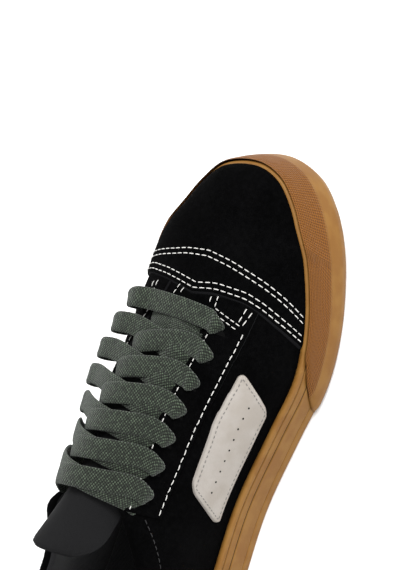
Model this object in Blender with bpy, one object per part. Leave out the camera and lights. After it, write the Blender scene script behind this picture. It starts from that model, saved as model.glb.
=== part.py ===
"""A right low-top skateboarding shoe with a suede upper, a gum rubber sole and flat laces.

The frame: +Y points to the toe, +X to the outer side of the foot, +Z up. The origin is under the middle of the
shoe, on the floor. A place round the shoe is one number: 0 to 1 fans round the heel from the back to the side,
1 to 2 runs along the side, and 2 to 3 fans round the toe, on the outer side (+1) or the inner side (-1).
"""

import functools
import math

import bmesh
import bpy
import numpy as np

MM = 0.001

# Overall sizes
LENGTH = 290 * MM
BALL_WIDTH = 104 * MM
HEEL_WIDTH = 79 * MM
TOE_SPRING = 6 * MM
TOE_LEAN = 5.5 * MM
MIDDLE_SHIFT = 3 * MM
CLEARANCE = 0.3 * MM

# Rubber
OUTSOLE_THICKNESS = 6 * MM
SIDEWALL_HEIGHT = 25 * MM
SIDEWALL_THICKNESS = 3.4 * MM
FOOTBED_HEIGHT = 13 * MM
RIB_DEPTH = 0.8 * MM
BUMPER_THICKNESS = 1.8 * MM
BUMPER_HEIGHT = 32 * MM
BUMPER_SWEEP = 22 * MM
TREAD_DEPTH = 1.8 * MM
TREAD_GROOVE_WIDTH = 3 * MM
TREAD_PITCH = 12 * MM
TREAD_BORDER = 10 * MM

# How far the sidewall and the upper stand inside the shoe's whole outline
SOLE_INSET = BUMPER_THICKNESS + CLEARANCE
UPPER_INSET = SOLE_INSET + SIDEWALL_THICKNESS + CLEARANCE

# Upper
WALL = 2.2 * MM
COLLAR_PADDING = 6 * MM
COLLAR_PAD_DEPTH = 26 * MM
OVERLAY_THICKNESS = 1.4 * MM
OVERLAY_CLEARANCE = 0.72 * MM
INSTEP_HEIGHT = 92 * MM
COLLAR_HEIGHT = 80 * MM
COLLAR_HALF_WIDTH = 32 * MM
THROAT_GAP = 31 * MM
THROAT_TOP_GAP = 42 * MM
THROAT_ROUNDING = 12 * MM
EYESTAY_WIDTH = 21 * MM
EYELET_INSET = 8 * MM
EYELET_DIAMETER = 5 * MM
EYELET_PAIRS = 7
INSOLE_THICKNESS = 4.5 * MM
TONGUE_THICKNESS = 5 * MM
TONGUE_HALF_WIDTH = 28 * MM
TONGUE_TOP_HALF_WIDTH = 23 * MM
LACE_WIDTH = 7.5 * MM
LACE_THICKNESS = 1.6 * MM
PATCH_LOW = 7 * MM
PATCH_HIGH = 33 * MM
PATCH_GAP = 3 * MM
LACE_LIFT = 1.2 * MM

# Places along the shoe, as shares of its length from the heel
HEEL_CENTRE = 0.135
TOE_CENTRE = 0.845
SPRING_START = 0.72
LEAN_START = 0.62
THROAT_BASE = 0.715
THROAT_TOP = 0.40
FIRST_EYELET = 0.695
LAST_EYELET = 0.42
BUMPER_END = 0.69
CAP_EDGE = 0.755
CAP_EDGE_AT_SIDE = 0.70
CAP_GAP = 0.008
COUNTER_END = 0.24
PATCH_FRONT = 0.60
PATCH_BACK = 0.40
PATCH_LEAN = -0.055
TONGUE_TIP = 0.315


# Half widths of the sole, as shares of half the heel width and half the ball width, mixed by ball_share
OUTLINE_COLUMNS = ("along", "outer", "inner", "ball_share")
OUTLINE = (
    (0.000, 0.00, 0.00, 0.00),
    (0.012, 0.42, 0.42, 0.00),
    (0.045, 0.72, 0.72, 0.00),
    (0.100, 0.93, 0.92, 0.00),
    (0.190, 1.00, 0.98, 0.00),
    (0.320, 0.93, 0.85, 0.30),
    (0.440, 0.86, 0.74, 0.65),
    (0.560, 0.92, 0.77, 0.90),
    (0.660, 1.000, 0.87, 1.00),
    (0.735, 0.985, 0.960, 1.00),
    (0.815, 0.895, 0.965, 1.00),
    (0.885, 0.765, 0.840, 1.00),
    (0.940, 0.590, 0.660, 1.00),
    (0.982, 0.350, 0.425, 1.00),
    (1.000, 0.02, -0.02, 1.00),
)

# The rubber's top edge, as shares of the sidewall height; the toe's share of the way to the bumper height
RIM_COLUMNS = ("along", "sidewall", "bumper")
RIM = (
    (0.00, 1.12, 0.0),
    (0.10, 1.10, 0.0),
    (0.30, 1.00, 0.0),
    (0.62, 1.00, 0.0),
    (0.76, 1.00, 0.40),
    (0.88, 1.00, 0.85),
    (1.00, 1.00, 1.0),
)

# The sidewall from its foot to its top: height as a share of the rim height, inset as a share of its thickness
SIDEWALL_COLUMNS = ("height", "inset", "rib")
SIDEWALL = (
    (0.00, 0.00, 0),
    (0.51, 0.00, 0),
    (0.55, 0.00, 1),
    (0.59, 0.04, 0),
    (0.80, 0.08, 0),
    (0.835, 0.10, 1),
    (0.87, 0.12, 0),
    (0.96, 0.20, 0),
    (1.00, 0.45, 0),
)

# The toe bumper from its foot to its top: height as a share of the rim height, inset as a share of its thickness,
# and how far its end sweeps back there, as a share of the sweep
BUMPER_COLUMNS = ("height", "inset", "sweep")
BUMPER = (
    (0.03, 0.45, 1.00),
    (0.185, 0.02, 0.95),
    (0.30, 0.00, 0.86),
    (0.52, 0.10, 0.66),
    (0.72, 0.30, 0.44),
    (0.90, 0.55, 0.10),
    (1.00, 0.95, -0.12),
)

# The closed dome over the foot: ridge height as a share of the instep height, the side's handle as a share of the
# height above the rubber, and the crown's handle as a share of the half width
DOME_COLUMNS = ("along", "ridge", "rise", "crown")
DOME = (
    (0.300, 1.310, 0.66, 0.50),
    (0.350, 1.190, 0.64, 0.50),
    (0.400, 1.085, 0.62, 0.50),
    (0.475, 0.980, 0.61, 0.50),
    (0.560, 0.872, 0.60, 0.52),
    (0.640, 0.735, 0.58, 0.54),
    (0.715, 0.605, 0.58, 0.56),
    (0.780, 0.530, 0.54, 0.56),
    (0.845, 0.490, 0.48, 0.54),
)

# The collar: its edge as shares of the collar's half width and height, and the two handles of each side section
# as shares of the same
COLLAR_COLUMNS = ("along", "edge_half", "edge_height", "pull_out", "pull_down", "lean", "rise")
COLLAR = (
    (0.000, 0.93, 1.00, 0.03, 0.22, 0.06, 0.24),
    (0.060, 0.95, 0.965, 0.03, 0.21, 0.06, 0.23),
    (0.135, 0.98, 0.89, 0.03, 0.19, 0.06, 0.20),
    (0.200, 1.00, 0.82, 0.05, 0.17, 0.05, 0.18),
    (0.260, 0.99, 0.81, 0.08, 0.17, 0.04, 0.18),
    (0.320, 0.92, 0.89, 0.16, 0.18, 0.03, 0.24),
    (0.365, 0.80, 1.00, 0.26, 0.14, 0.03, 0.34),
)

# Where round the toe the rubber leans in fully
LEAN_FULL_PLACE = 2.3

# Mesh density
OUTLINE_SAMPLES = 24
HEEL_STEPS = 6
COLLAR_STEPS = 7
THROAT_STEPS = 8
ROUNDING_STEPS = 4
VAMP_STEPS = 3
TOE_STEPS = 7
SECTION_STEPS = 9


def mix(a, b, share):
    return a + (b - a) * share


def limited(value, low=0.0, high=1.0):
    return max(low, min(high, value))


def eased(share):
    share = limited(share)
    return share * share * (3 - 2 * share)


@functools.cache
def slopes(rows, column):
    """Slopes at a table's rows that never overshoot its values."""
    x = [row[0] for row in rows]
    y = [row[column] for row in rows]
    steps = [(y[i + 1] - y[i]) / (x[i + 1] - x[i]) for i in range(len(x) - 1)]
    inner = [
        0.0 if a * b <= 0 else 2 * a * b / (a + b)
        for a, b in zip(steps[:-1], steps[1:], strict=True)
    ]
    return [steps[0], *inner, steps[-1]]


def read(rows, columns, name, along):
    """A column of a table at a place between its rows, on a smooth curve."""
    column = columns.index(name)
    places = [row[0] for row in rows]
    along = limited(along, places[0], places[-1])
    i = min(int(np.searchsorted(places, along, side="right")) - 1, len(rows) - 2)
    span = places[i + 1] - places[i]
    t = (along - places[i]) / span
    low, high = rows[i][column], rows[i + 1][column]
    start, end = (slopes(rows, column)[k] * span for k in (i, i + 1))
    return (
        low * (1 + 2 * t) * (1 - t) ** 2
        + start * t * (1 - t) ** 2
        + high * t * t * (3 - 2 * t)
        + end * t * t * (t - 1)
    )


def y_of(along):
    return mix(-LENGTH / 2 - SOLE_INSET, LENGTH / 2, along)


def along_of(y):
    return (y + LENGTH / 2 + SOLE_INSET) / (LENGTH + SOLE_INSET)


def spring(y):
    """How far the curl of the toe lifts the shoe there."""
    run = limited((along_of(y) - SPRING_START) / (1 - SPRING_START))
    return TOE_SPRING * run * run


# The sole's outline

@functools.cache
def dense_outline():
    """The sole's outline as a closed curve through its table's points, as an array of (x, y)."""
    points = []
    for along, outer, _, ball in OUTLINE:
        half = mix(HEEL_WIDTH, BALL_WIDTH, ball) / 2
        points.append((outer * half, y_of(along)))
    for along, _, inner, ball in OUTLINE[-2:0:-1]:
        half = mix(HEEL_WIDTH, BALL_WIDTH, ball) / 2
        points.append((-inner * half, y_of(along)))
    points = np.array(points)
    count = len(points)
    curve = []
    for i in range(count):
        p = [points[(i + k) % count] for k in (-1, 0, 1, 2)]
        knots = [0.0]
        for a, b in zip(p[:-1], p[1:], strict=True):
            knots.append(knots[-1] + math.sqrt(np.linalg.norm(b - a)))
        for t in np.linspace(knots[1], knots[2], OUTLINE_SAMPLES, endpoint=False):
            level = list(p)
            for degree in (1, 2, 3):
                level = [
                    mix(level[k], level[k + 1], span_share(knots, k, degree, t))
                    for k in range(len(level) - 1)
                ]
            curve.append(level[0])
    return np.array(curve)


def span_share(knots, k, degree, t):
    """The weights of the centripetal curve through four points."""
    low, high = (k, k + 1) if degree == 1 else (k, k + 2) if degree == 2 else (1, 2)
    return (t - knots[low]) / (knots[high] - knots[low])


@functools.cache
def outline(inset):
    """The outline moved inwards, with the distance along it from the toe, outer side positive."""
    points = dense_outline()
    tangents = np.roll(points, -1, axis=0) - np.roll(points, 1, axis=0)
    tangents /= np.linalg.norm(tangents, axis=1)[:, None]
    inwards = np.stack([-tangents[:, 1], tangents[:, 0]], axis=1)
    return points + inwards * inset


def spine_x(along):
    """The middle of the throat and the toe lies towards the inner side."""
    return -MIDDLE_SHIFT * eased((along - TONGUE_TIP + 0.05) / 0.20)


def centre_of(place):
    """The point of the foot's middle line that a place's section looks at."""
    along = mix(HEEL_CENTRE, TOE_CENTRE, limited(place - 1))
    return np.array([spine_x(along), y_of(along)])


@functools.cache
def fans(inset):
    """For the heel and the toe, angles from straight across and distances; for the sides, y and x."""
    points = outline(inset)
    tables = {}
    for end, place in (("heel", 1.0), ("toe", 2.0)):
        rays = points - centre_of(place)
        turn = -1 if end == "heel" else 1
        for side in (1, -1):
            angles = np.degrees(np.arctan2(rays[:, 1] * turn, rays[:, 0] * side))
            keep = (angles > -20) & (angles < 110)
            order = np.argsort(angles[keep])
            reach = np.linalg.norm(rays[keep], axis=1)
            tables[end, side] = angles[keep][order], reach[order]
    for side in (1, -1):
        keep = points[:, 0] * side > 0.2 * HEEL_WIDTH / 2
        order = np.argsort(points[keep][:, 1])
        tables["side", side] = points[keep][order][:, 1], points[keep][order][:, 0]
    return tables


def foot(place, side, inset, lean_share=0.0):
    """The outline's point at a place round the shoe. The rubber leans in towards its rim round the toe."""
    if lean_share > 0 and place > place_at(LEAN_START):
        lean = eased((place - place_at(LEAN_START)) / (LEAN_FULL_PLACE - place_at(LEAN_START)))
        upright, leaned = foot(place, side, inset), foot(place, side, inset + TOE_LEAN)
        return mix(upright, leaned, lean * lean_share)
    tables = fans(inset)
    centre = centre_of(place)
    if 1 <= place <= 2:
        y, x = tables["side", side]
        return np.array([np.interp(centre[1], y, x), centre[1]])
    end, angle = ("heel", 90 * (1 - place)) if place < 1 else ("toe", 90 * (place - 2))
    angles, reach = tables[end, side]
    distance = np.interp(angle, angles, reach)
    turn = -1 if end == "heel" else 1
    direction = (math.cos(math.radians(angle)) * side, math.sin(math.radians(angle)) * turn)
    return centre + distance * np.array(direction)


def place_at(along):
    return 1 + (along - HEEL_CENTRE) / (TOE_CENTRE - HEEL_CENTRE)


def places():
    """The places of the sections, from the heel's back to the toe's tip."""
    heel = np.linspace(0, 1, HEEL_STEPS, endpoint=False)
    collar = np.linspace(1, place_at(THROAT_TOP), COLLAR_STEPS, endpoint=False)
    rounding_start = THROAT_BASE - THROAT_ROUNDING / LENGTH
    throat = np.linspace(
        place_at(THROAT_TOP), place_at(rounding_start), THROAT_STEPS, endpoint=False
    )
    turns = np.linspace(math.pi / 2, 0, ROUNDING_STEPS, endpoint=False)
    base = [place_at(THROAT_BASE - THROAT_ROUNDING / LENGTH * (1 - math.cos(a))) for a in turns]
    vamp = np.linspace(place_at(THROAT_BASE), 2, VAMP_STEPS, endpoint=False)
    toe = np.linspace(2, 3, TOE_STEPS + 1)
    return [float(p) for p in (*heel, *collar, *throat, *base, *vamp, *toe)]


def rim_height(y):
    along = along_of(y)
    sidewall = read(RIM, RIM_COLUMNS, "sidewall", along) * SIDEWALL_HEIGHT
    return mix(sidewall, BUMPER_HEIGHT, read(RIM, RIM_COLUMNS, "bumper", along))


# The upper's own function

def gap_line(along):
    """Half the gap between the eyestays, without the rounding at its base."""
    run = (THROAT_BASE - along) / (THROAT_BASE - THROAT_TOP)
    return mix(THROAT_GAP, THROAT_TOP_GAP, run) / 2


def throat_half(along):
    depth = (THROAT_BASE - along) * LENGTH
    if depth <= 0:
        return 0.0
    if depth >= THROAT_ROUNDING:
        return gap_line(along)
    return gap_line(along) * math.sqrt(1 - (1 - depth / THROAT_ROUNDING) ** 2)


def dome(along, half, low):
    """The four handles, as (distance from the middle, height), of a closed section."""
    ridge = read(DOME, DOME_COLUMNS, "ridge", along) * INSTEP_HEIGHT
    rise = read(DOME, DOME_COLUMNS, "rise", along)
    crown = read(DOME, DOME_COLUMNS, "crown", along)
    return np.array([(half, low), (half, mix(low, ridge, rise)), (half * crown, ridge), (0, ridge)])


def on_curve(handles, t):
    weights = ((1 - t) ** 3, 3 * t * (1 - t) ** 2, 3 * t * t * (1 - t), t**3)
    return sum(w * h for w, h in zip(weights, handles, strict=True))


def share_at_distance(handles, distance):
    """Where on a section's curve it has come in to a distance from the middle."""
    low, high = 0.0, 1.0
    for _ in range(30):
        half = (low + high) / 2
        if on_curve(handles, half)[0] > distance:
            low = half
        else:
            high = half
    return (low + high) / 2


def first_part(handles, t):
    """The handles of a curve's part before t."""
    level, kept = [np.array(h, float) for h in handles], []
    while level:
        kept.append(level[0])
        level = [mix(a, b, t) for a, b in zip(level[:-1], level[1:], strict=True)]
    return np.array(kept)


def section(place, side):
    """A place's centre, its direction across the foot, and the four handles of the upper's outer face."""
    centre = centre_of(place)
    base = foot(place, side, UPPER_INSET, 1.0)
    half = float(np.linalg.norm(base - centre))
    across = (base - centre) / half
    low = rim_height(base[1]) + CLEARANCE
    along = along_of(centre[1]) if place >= 1 else along_of(base[1])
    if along >= THROAT_TOP:
        closed = dome(along, half, low)
        gap = throat_half(along)
        handles = first_part(closed, share_at_distance(closed, gap)) if gap else closed
    else:
        handles = collar_handles(along, side, half, low)
    return centre, across, handles


@functools.cache
def collar_rows(side):
    """The collar's table with one more row, where it meets the top of the throat."""
    centre, _, handles = section(place_at(THROAT_TOP), side)
    (half, low), (out, up), (pull_x, pull_z), (edge_x, edge_z) = handles
    row = (
        THROAT_TOP,
        edge_x / COLLAR_HALF_WIDTH,
        edge_z / COLLAR_HEIGHT,
        (pull_x - edge_x) / COLLAR_HALF_WIDTH,
        (edge_z - pull_z) / COLLAR_HEIGHT,
        (out - half) / COLLAR_HALF_WIDTH,
        (up - low) / COLLAR_HEIGHT,
    )
    return (*COLLAR, row)


def collar_handles(along, side, half, low):
    rows = collar_rows(side)
    edge_half, edge_height, pull_out, pull_down, lean, rise = (
        read(rows, COLLAR_COLUMNS, name, along) for name in COLLAR_COLUMNS[1:]
    )
    edge = edge_half * COLLAR_HALF_WIDTH, edge_height * COLLAR_HEIGHT
    return np.array(
        [
            (half, low),
            (half + lean * COLLAR_HALF_WIDTH, low + rise * COLLAR_HEIGHT),
            (edge[0] + pull_out * COLLAR_HALF_WIDTH, edge[1] - pull_down * COLLAR_HEIGHT),
            edge,
        ]
    )


def in_space(centre, across, distance, height):
    x, y = centre + across * distance
    return x, y, height + spring(y)


def surface(place, side, share, out=0.0):
    """A point of the upper's outer face, moved out of it by a distance."""
    centre, across, handles = section(place, side)
    r, z = on_curve(handles, share)
    step = 1e-3
    before, after = on_curve(handles, max(0, share - step)), on_curve(handles, min(1, share + step))
    run, climb = after - before
    length = math.hypot(run, climb)
    return in_space(centre, across, r + climb / length * out, z - run / length * out)


def wall_at(place, height_to_edge):
    """The wall's thickness, which grows to the collar's padding near its edge."""
    along = along_of(centre_of(place)[1])
    padded = eased((THROAT_TOP - along) / 0.05)
    near_edge = eased(1 - height_to_edge / COLLAR_PAD_DEPTH)
    return mix(WALL, COLLAR_PADDING, padded * near_edge)


def upper_loop(place, side):
    """One closed section through the upper's wall: up the outer face and down the inner one."""
    centre, across, handles = section(place, side)
    foot_z = FOOTBED_HEIGHT + CLEARANCE
    edge_z = handles[3][1]
    outer, inner = [in_space(centre, across, handles[0][0], foot_z)], []
    inner.append(in_space(centre, across, handles[0][0] - WALL, foot_z))
    for i in range(SECTION_STEPS + 1):
        share = i / SECTION_STEPS
        r, z = on_curve(handles, share)
        wall = wall_at(place, edge_z - z)
        outer.append(in_space(centre, across, r, z))
        inner.append(surface(place, side, share, -wall))
    is_open = throat_half(along_of(centre[1])) > 0 or place < place_at(THROAT_TOP)
    middle = np.mean([outer[-1], inner[-1]], axis=0)
    if is_open:
        lift = np.subtract(outer[-1], outer[-2])
        round_over = min(wall_at(place, 0) / 2, handles[3][0] / 4)
        middle = middle + lift / np.linalg.norm(lift) * round_over
    return [*outer, tuple(middle), *reversed(inner)], is_open


# Mesh helpers

def material(name, colour, roughness):
    made = bpy.data.materials.new(name)
    made.use_nodes = True
    shader = made.node_tree.nodes["Principled BSDF"]
    shader.inputs["Base Color"].default_value = (*colour, 1)
    shader.inputs["Roughness"].default_value = roughness
    shader.inputs["Metallic"].default_value = 0
    return made


def body(name, points, faces, finish, smooth_angle=40):
    """A named object from points and faces, with its equal points joined and its faces turned outwards."""
    mesh = bpy.data.meshes.new(name)
    mesh.from_pydata([tuple(map(float, p)) for p in points], [], faces)
    work = bmesh.new()
    work.from_mesh(mesh)
    bmesh.ops.remove_doubles(work, verts=work.verts, dist=0.01 * MM)
    bmesh.ops.recalc_face_normals(work, faces=work.faces)
    work.to_mesh(mesh)
    work.free()
    mesh.shade_smooth()
    mesh.set_sharp_from_angle(angle=math.radians(smooth_angle))
    mesh.materials.append(finish)
    made = bpy.data.objects.new(name, mesh)
    bpy.context.scene.collection.objects.link(made)
    return made


def strip(first, second, closed=True):
    """Faces between two rows of point numbers."""
    count = len(first)
    return [
        (first[i], first[(i + 1) % count], second[(i + 1) % count], second[i])
        for i in range(count if closed else count - 1)
    ]


def loft(loops, closed_round, skip=None):
    """Points and faces through closed loops of points, with flat caps where the loops don't close round."""
    points = [p for loop in loops for p in loop]
    size = len(loops[0])
    rows = [[k * size + i for i in range(size)] for k in range(len(loops))]
    faces = []
    pairs = list(zip(rows, rows[1:] + rows[:1], strict=True)) if closed_round else list(
        zip(rows[:-1], rows[1:], strict=True)
    )
    for k, (first, second) in enumerate(pairs):
        made = strip(first, second)
        faces += made if skip is None else [f for i, f in enumerate(made) if not skip(k, i)]
    if not closed_round:
        faces += [tuple(rows[0]), tuple(rows[-1])]
    return points, faces


def around(listed):
    """Places and sides once round the shoe: up the outer side and back down the inner side."""
    return [(p, 1) for p in listed] + [(p, -1) for p in listed[-2:0:-1]]


def ladder(first, count):
    """Faces across a ring of points that runs up one side and back down the other."""
    ring = [first + i for i in range(count)]
    half = count // 2
    faces = [(ring[0], ring[1], ring[-1]), (ring[half - 1], ring[half], ring[half + 1])]
    for i in range(1, half - 1):
        faces.append((ring[i], ring[i + 1], ring[-i - 1], ring[-i]))
    return faces


def stacked(rings):
    """Points and faces of a solid of stacked rings, closed below and above."""
    size = len(rings[0])
    points = [p for ring in rings for p in ring]
    faces = []
    for k in range(len(rings) - 1):
        faces += strip(range(k * size, (k + 1) * size), range((k + 1) * size, (k + 2) * size))
    return points, faces + ladder(0, size) + ladder((len(rings) - 1) * size, size)


def ring_at(listed, inset, height, lean_share=0.0):
    """A ring round the shoe at an inset, at a height or at one that a function of y gives."""
    ring = []
    for place, side in around(listed):
        x, y = foot(place, side, inset, lean_share)
        z = height(y) if callable(height) else height
        ring.append((x, y, z + spring(y)))
    return ring


# The rubber sole

def make_outsole(finish):
    listed = places()
    edge = 0.8 * MM
    rings = [
        ring_at(listed, SOLE_INSET + 1.5 * edge, 0),
        ring_at(listed, SOLE_INSET + 0.4 * edge, edge),
        ring_at(listed, SOLE_INSET, 2 * edge),
        ring_at(listed, SOLE_INSET, OUTSOLE_THICKNESS),
    ]
    outsole = body("outsole", *stacked(rings), finish)
    cutter = body("tread_cutter", *tread_grooves(), finish)
    cutter.hide_render = True
    cutter.display_type = "WIRE"
    cut = outsole.modifiers.new("tread", "BOOLEAN")
    cut.operation = "DIFFERENCE"
    cut.object = cutter
    return outsole


def tread_grooves():
    """Straight grooves across the forefoot and the heel, inside a plain border."""
    points, faces = [], []
    for start, end in ((0.10, 0.30), (0.55, 0.86)):
        count = int((end - start) * LENGTH / TREAD_PITCH) + 1
        for k in range(count):
            y = y_of(start) + k * TREAD_PITCH
            place = limited(place_at(along_of(y)), 1, 2)
            reach = [foot(place, side, SOLE_INSET + TREAD_BORDER)[0] for side in (-1, 1)]
            low, high = -2 * MM, TREAD_DEPTH + spring(y)
            half = TREAD_GROOVE_WIDTH / 2
            first = len(points)
            points += [
                (x, y + dy, z) for z in (low, high) for x, dy in (
                    (reach[0], -half), (reach[1], -half), (reach[1], half), (reach[0], half)
                )
            ]
            a, b, c, d, e, f, g, h = range(first, first + 8)
            faces += [(a, b, c, d), (e, f, g, h), (a, b, f, e), (b, c, g, f), (c, d, h, g), (d, a, e, h)]
    return points, faces


def make_sidewall(finish):
    """The rubber cup: a ribbed wall with a footbed, open above for the upper."""
    listed = places()
    rings = []
    bottom = OUTSOLE_THICKNESS + CLEARANCE
    for height, inset, rib in SIDEWALL:
        depth = SOLE_INSET + inset * SIDEWALL_THICKNESS + rib * RIB_DEPTH
        rings.append(
            ring_at(listed, depth, lambda y, up=height: mix(bottom, rim_height(y), up), height)
        )
    cavity = SOLE_INSET + SIDEWALL_THICKNESS
    rings.append(ring_at(listed, cavity, rim_height, 1.0))
    rings.append(ring_at(listed, cavity, FOOTBED_HEIGHT, 1.0))
    return body("sidewall", *stacked(rings), finish)


def bumper_row(inset, height, sweep):
    """One row round the toe bumper, from its outer end to its inner end."""
    bottom = OUTSOLE_THICKNESS + CLEARANCE
    end = place_at(BUMPER_END - sweep * BUMPER_SWEEP / LENGTH)
    listed = [*np.linspace(end, 2, 8, endpoint=False), *np.linspace(2, 3, 12)]
    row = []
    for place, side in [(p, 1) for p in listed] + [(p, -1) for p in listed[-2::-1]]:
        rim = rim_height(foot(place, side, inset)[1])
        z = height * rim + 0.4 * MM
        x, y = foot(place, side, inset, limited((z - bottom) / (rim - bottom)))
        row.append((x, y, z + spring(y)))
    return row


def make_toe_bumper(finish):
    outer = [bumper_row(inset * BUMPER_THICKNESS, height, sweep) for height, inset, sweep in BUMPER]
    inner = [bumper_row(BUMPER_THICKNESS, height, sweep) for height, _, sweep in BUMPER]
    loops = [
        [row[i] for row in outer] + [row[i] for row in reversed(inner)]
        for i in range(len(outer[0]))
    ]
    return body("toe_bumper", *loft(loops, closed_round=False), finish)


def make_insole(finish):
    listed = places()
    inset = UPPER_INSET + WALL + CLEARANCE
    low = FOOTBED_HEIGHT + CLEARANCE
    rings = [
        ring_at(listed, inset, low, 1.0),
        ring_at(listed, inset, low + INSOLE_THICKNESS * 0.8, 1.0),
        ring_at(listed, inset + 1.5 * MM, low + INSOLE_THICKNESS, 1.0),
    ]
    return body("insole", *stacked(rings), finish)


# The upper and what is sewn on it

def make_upper(finish):
    loops, opens = [], []
    for place, side in around(places()):
        loop, is_open = upper_loop(place, side)
        loops.append(loop)
        opens.append(is_open)
    rim = SECTION_STEPS + 1
    count = len(loops)

    def covered(k, i):
        return i in (rim, rim + 1) and not (opens[k] or opens[(k + 1) % count])

    return body("upper", *loft(loops, closed_round=True, skip=covered), finish)


def sheet(name, columns, finish, ridge_joined=False):
    """A thin solid over the upper: each column is a list of (place, side, share) from its foot to its top."""
    outer = [[surface(*at, OVERLAY_CLEARANCE + OVERLAY_THICKNESS) for at in column] for column in columns]
    inner = [[surface(*at, OVERLAY_CLEARANCE) for at in column] for column in columns]
    loops = [a + b[::-1] for a, b in zip(outer, inner, strict=True)]
    top = len(columns[0]) - 1
    skip = (lambda _, i: i == top) if ridge_joined else None
    return body(name, *loft(loops, closed_round=False, skip=skip), finish)


def cap_edge(share):
    """The toe cap's back edge, from the rubber at the side (0) to the ridge (1)."""
    bow = math.sin(math.pi * share) * 0.012
    return mix(CAP_EDGE_AT_SIDE, CAP_EDGE, eased(share * 1.2)) + bow


def make_toe_cap(finish):
    rows, steps = 10, 15
    columns = []
    for k in range(2 * steps + 1):
        side = 1 if k <= steps else -1
        forward = k / steps if k <= steps else 2 - k / steps
        column = []
        for i in range(rows + 1):
            share = i / rows
            start = place_at(cap_edge(share))
            column.append((mix(start, 3, forward), side, share))
        columns.append(column)
    return body_cap(columns, finish)


def body_cap(columns, finish):
    """The toe cap's two halves meet along the ridge, where they have no edge of their own."""
    outer = [[surface(*at, OVERLAY_CLEARANCE + OVERLAY_THICKNESS) for at in column] for column in columns]
    inner = [[surface(*at, OVERLAY_CLEARANCE) for at in column] for column in columns]
    loops = [a + b[::-1] for a, b in zip(outer, inner, strict=True)]
    top = len(columns[0]) - 1
    points, faces = loft(loops, closed_round=False, skip=lambda _, i: i == top)
    return body("toe_cap", points, faces, finish)


def band_shares(place, side, width):
    """Where on a section the eyestay starts and ends, measured from the throat's edge."""
    along = along_of(centre_of(place)[1])
    base = foot(place, side, UPPER_INSET, 1.0)
    half = float(np.linalg.norm(base - centre_of(place)))
    closed = dome(along, half, rim_height(base[1]) + CLEARANCE)
    edge = share_at_distance(closed, gap_line(along))
    travelled, share, last = 0.0, edge, on_curve(closed, edge)
    while travelled < width and share > 0:
        share -= 0.005
        point = on_curve(closed, share)
        travelled += float(np.linalg.norm(point - last))
        last = point
    return closed, share, edge


def on_dome(place, side, share, out):
    """A point over the closed dome, also where the throat is open."""
    centre = centre_of(place)
    base = foot(place, side, UPPER_INSET, 1.0)
    half = float(np.linalg.norm(base - centre))
    across = (base - centre) / half
    closed = dome(along_of(centre[1]), half, rim_height(base[1]) + CLEARANCE)
    r, z = on_curve(closed, share)
    run, climb = on_curve(closed, min(1, share + 1e-3)) - on_curve(closed, max(0, share - 1e-3))
    length = math.hypot(run, climb)
    return in_space(centre, across, r + climb / length * out, z - run / length * out)


def make_eyestay(name, side, finish):
    """The band beside the throat, from its top to the toe cap's back edge."""
    rows, steps = 5, 12
    _, low, high = band_shares(place_at(CAP_EDGE), side, EYESTAY_WIDTH)
    fronts = [cap_edge(mix(low, high, i / rows)) - CAP_GAP for i in range(rows + 1)]
    loops = []
    for k in range(steps + 1):
        outer, inner = [], []
        for i, front in enumerate(fronts):
            place = place_at(mix(THROAT_TOP, front, k / steps))
            _, low, high = band_shares(place, side, EYESTAY_WIDTH)
            share = mix(low, high, i / rows)
            outer.append(on_dome(place, side, share, OVERLAY_CLEARANCE + OVERLAY_THICKNESS))
            inner.append(on_dome(place, side, share, OVERLAY_CLEARANCE))
        loops.append(outer + inner[::-1])
    return body(name, *loft(loops, closed_round=False), finish)


def eyelet_places():
    return [
        place_at(mix(FIRST_EYELET, LAST_EYELET, k / (EYELET_PAIRS - 1)))
        for k in range(EYELET_PAIRS)
    ]


def make_counter(finish):
    """The heel counter wraps the back of the heel and narrows towards its top."""
    rows, steps = 8, 10
    columns = []
    for k in range(-steps, steps + 1):
        side = 1 if k >= 0 else -1
        column = []
        for i in range(rows + 1):
            share = 0.82 * i / rows
            end = place_at(mix(COUNTER_END, 0.17, eased(share)))
            column.append((abs(k) / steps * end, side, share))
        columns.append(column)
    return sheet("heel_counter", columns, finish)


def share_at_height(handles, height):
    """Where on a section's curve it first reaches a height."""
    shares = np.linspace(0, 1, 200)
    heights = on_curve(handles, shares[:, None])[:, 1]
    return float(np.interp(height, np.maximum.accumulate(heights), shares))


def below_eyestay(place, side):
    """The highest share on a section that stays clear of the eyestay."""
    if place < place_at(THROAT_TOP):
        return 1.0
    _, low, edge = band_shares(place, side, EYESTAY_WIDTH + PATCH_GAP)
    return low / edge if throat_half(along_of(centre_of(place)[1])) else low


def make_side_patch(name, side, finish):
    """A plain four-sided patch on the quarter, below the eyestay, at set heights above the rubber."""
    rows, steps = 5, 8
    columns = []
    for k in range(steps + 1):
        column = []
        for i in range(rows + 1):
            along = mix(PATCH_BACK, PATCH_FRONT, k / steps) - PATCH_LEAN * i / rows
            place = place_at(along)
            _, _, handles = section(place, side)
            low = share_at_height(handles, handles[0][1] + PATCH_LOW)
            high = min(share_at_height(handles, handles[0][1] + PATCH_HIGH), below_eyestay(place, side))
            column.append((place, side, mix(low, high, i / rows)))
        columns.append(column)
    return sheet(name, columns, finish)


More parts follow.
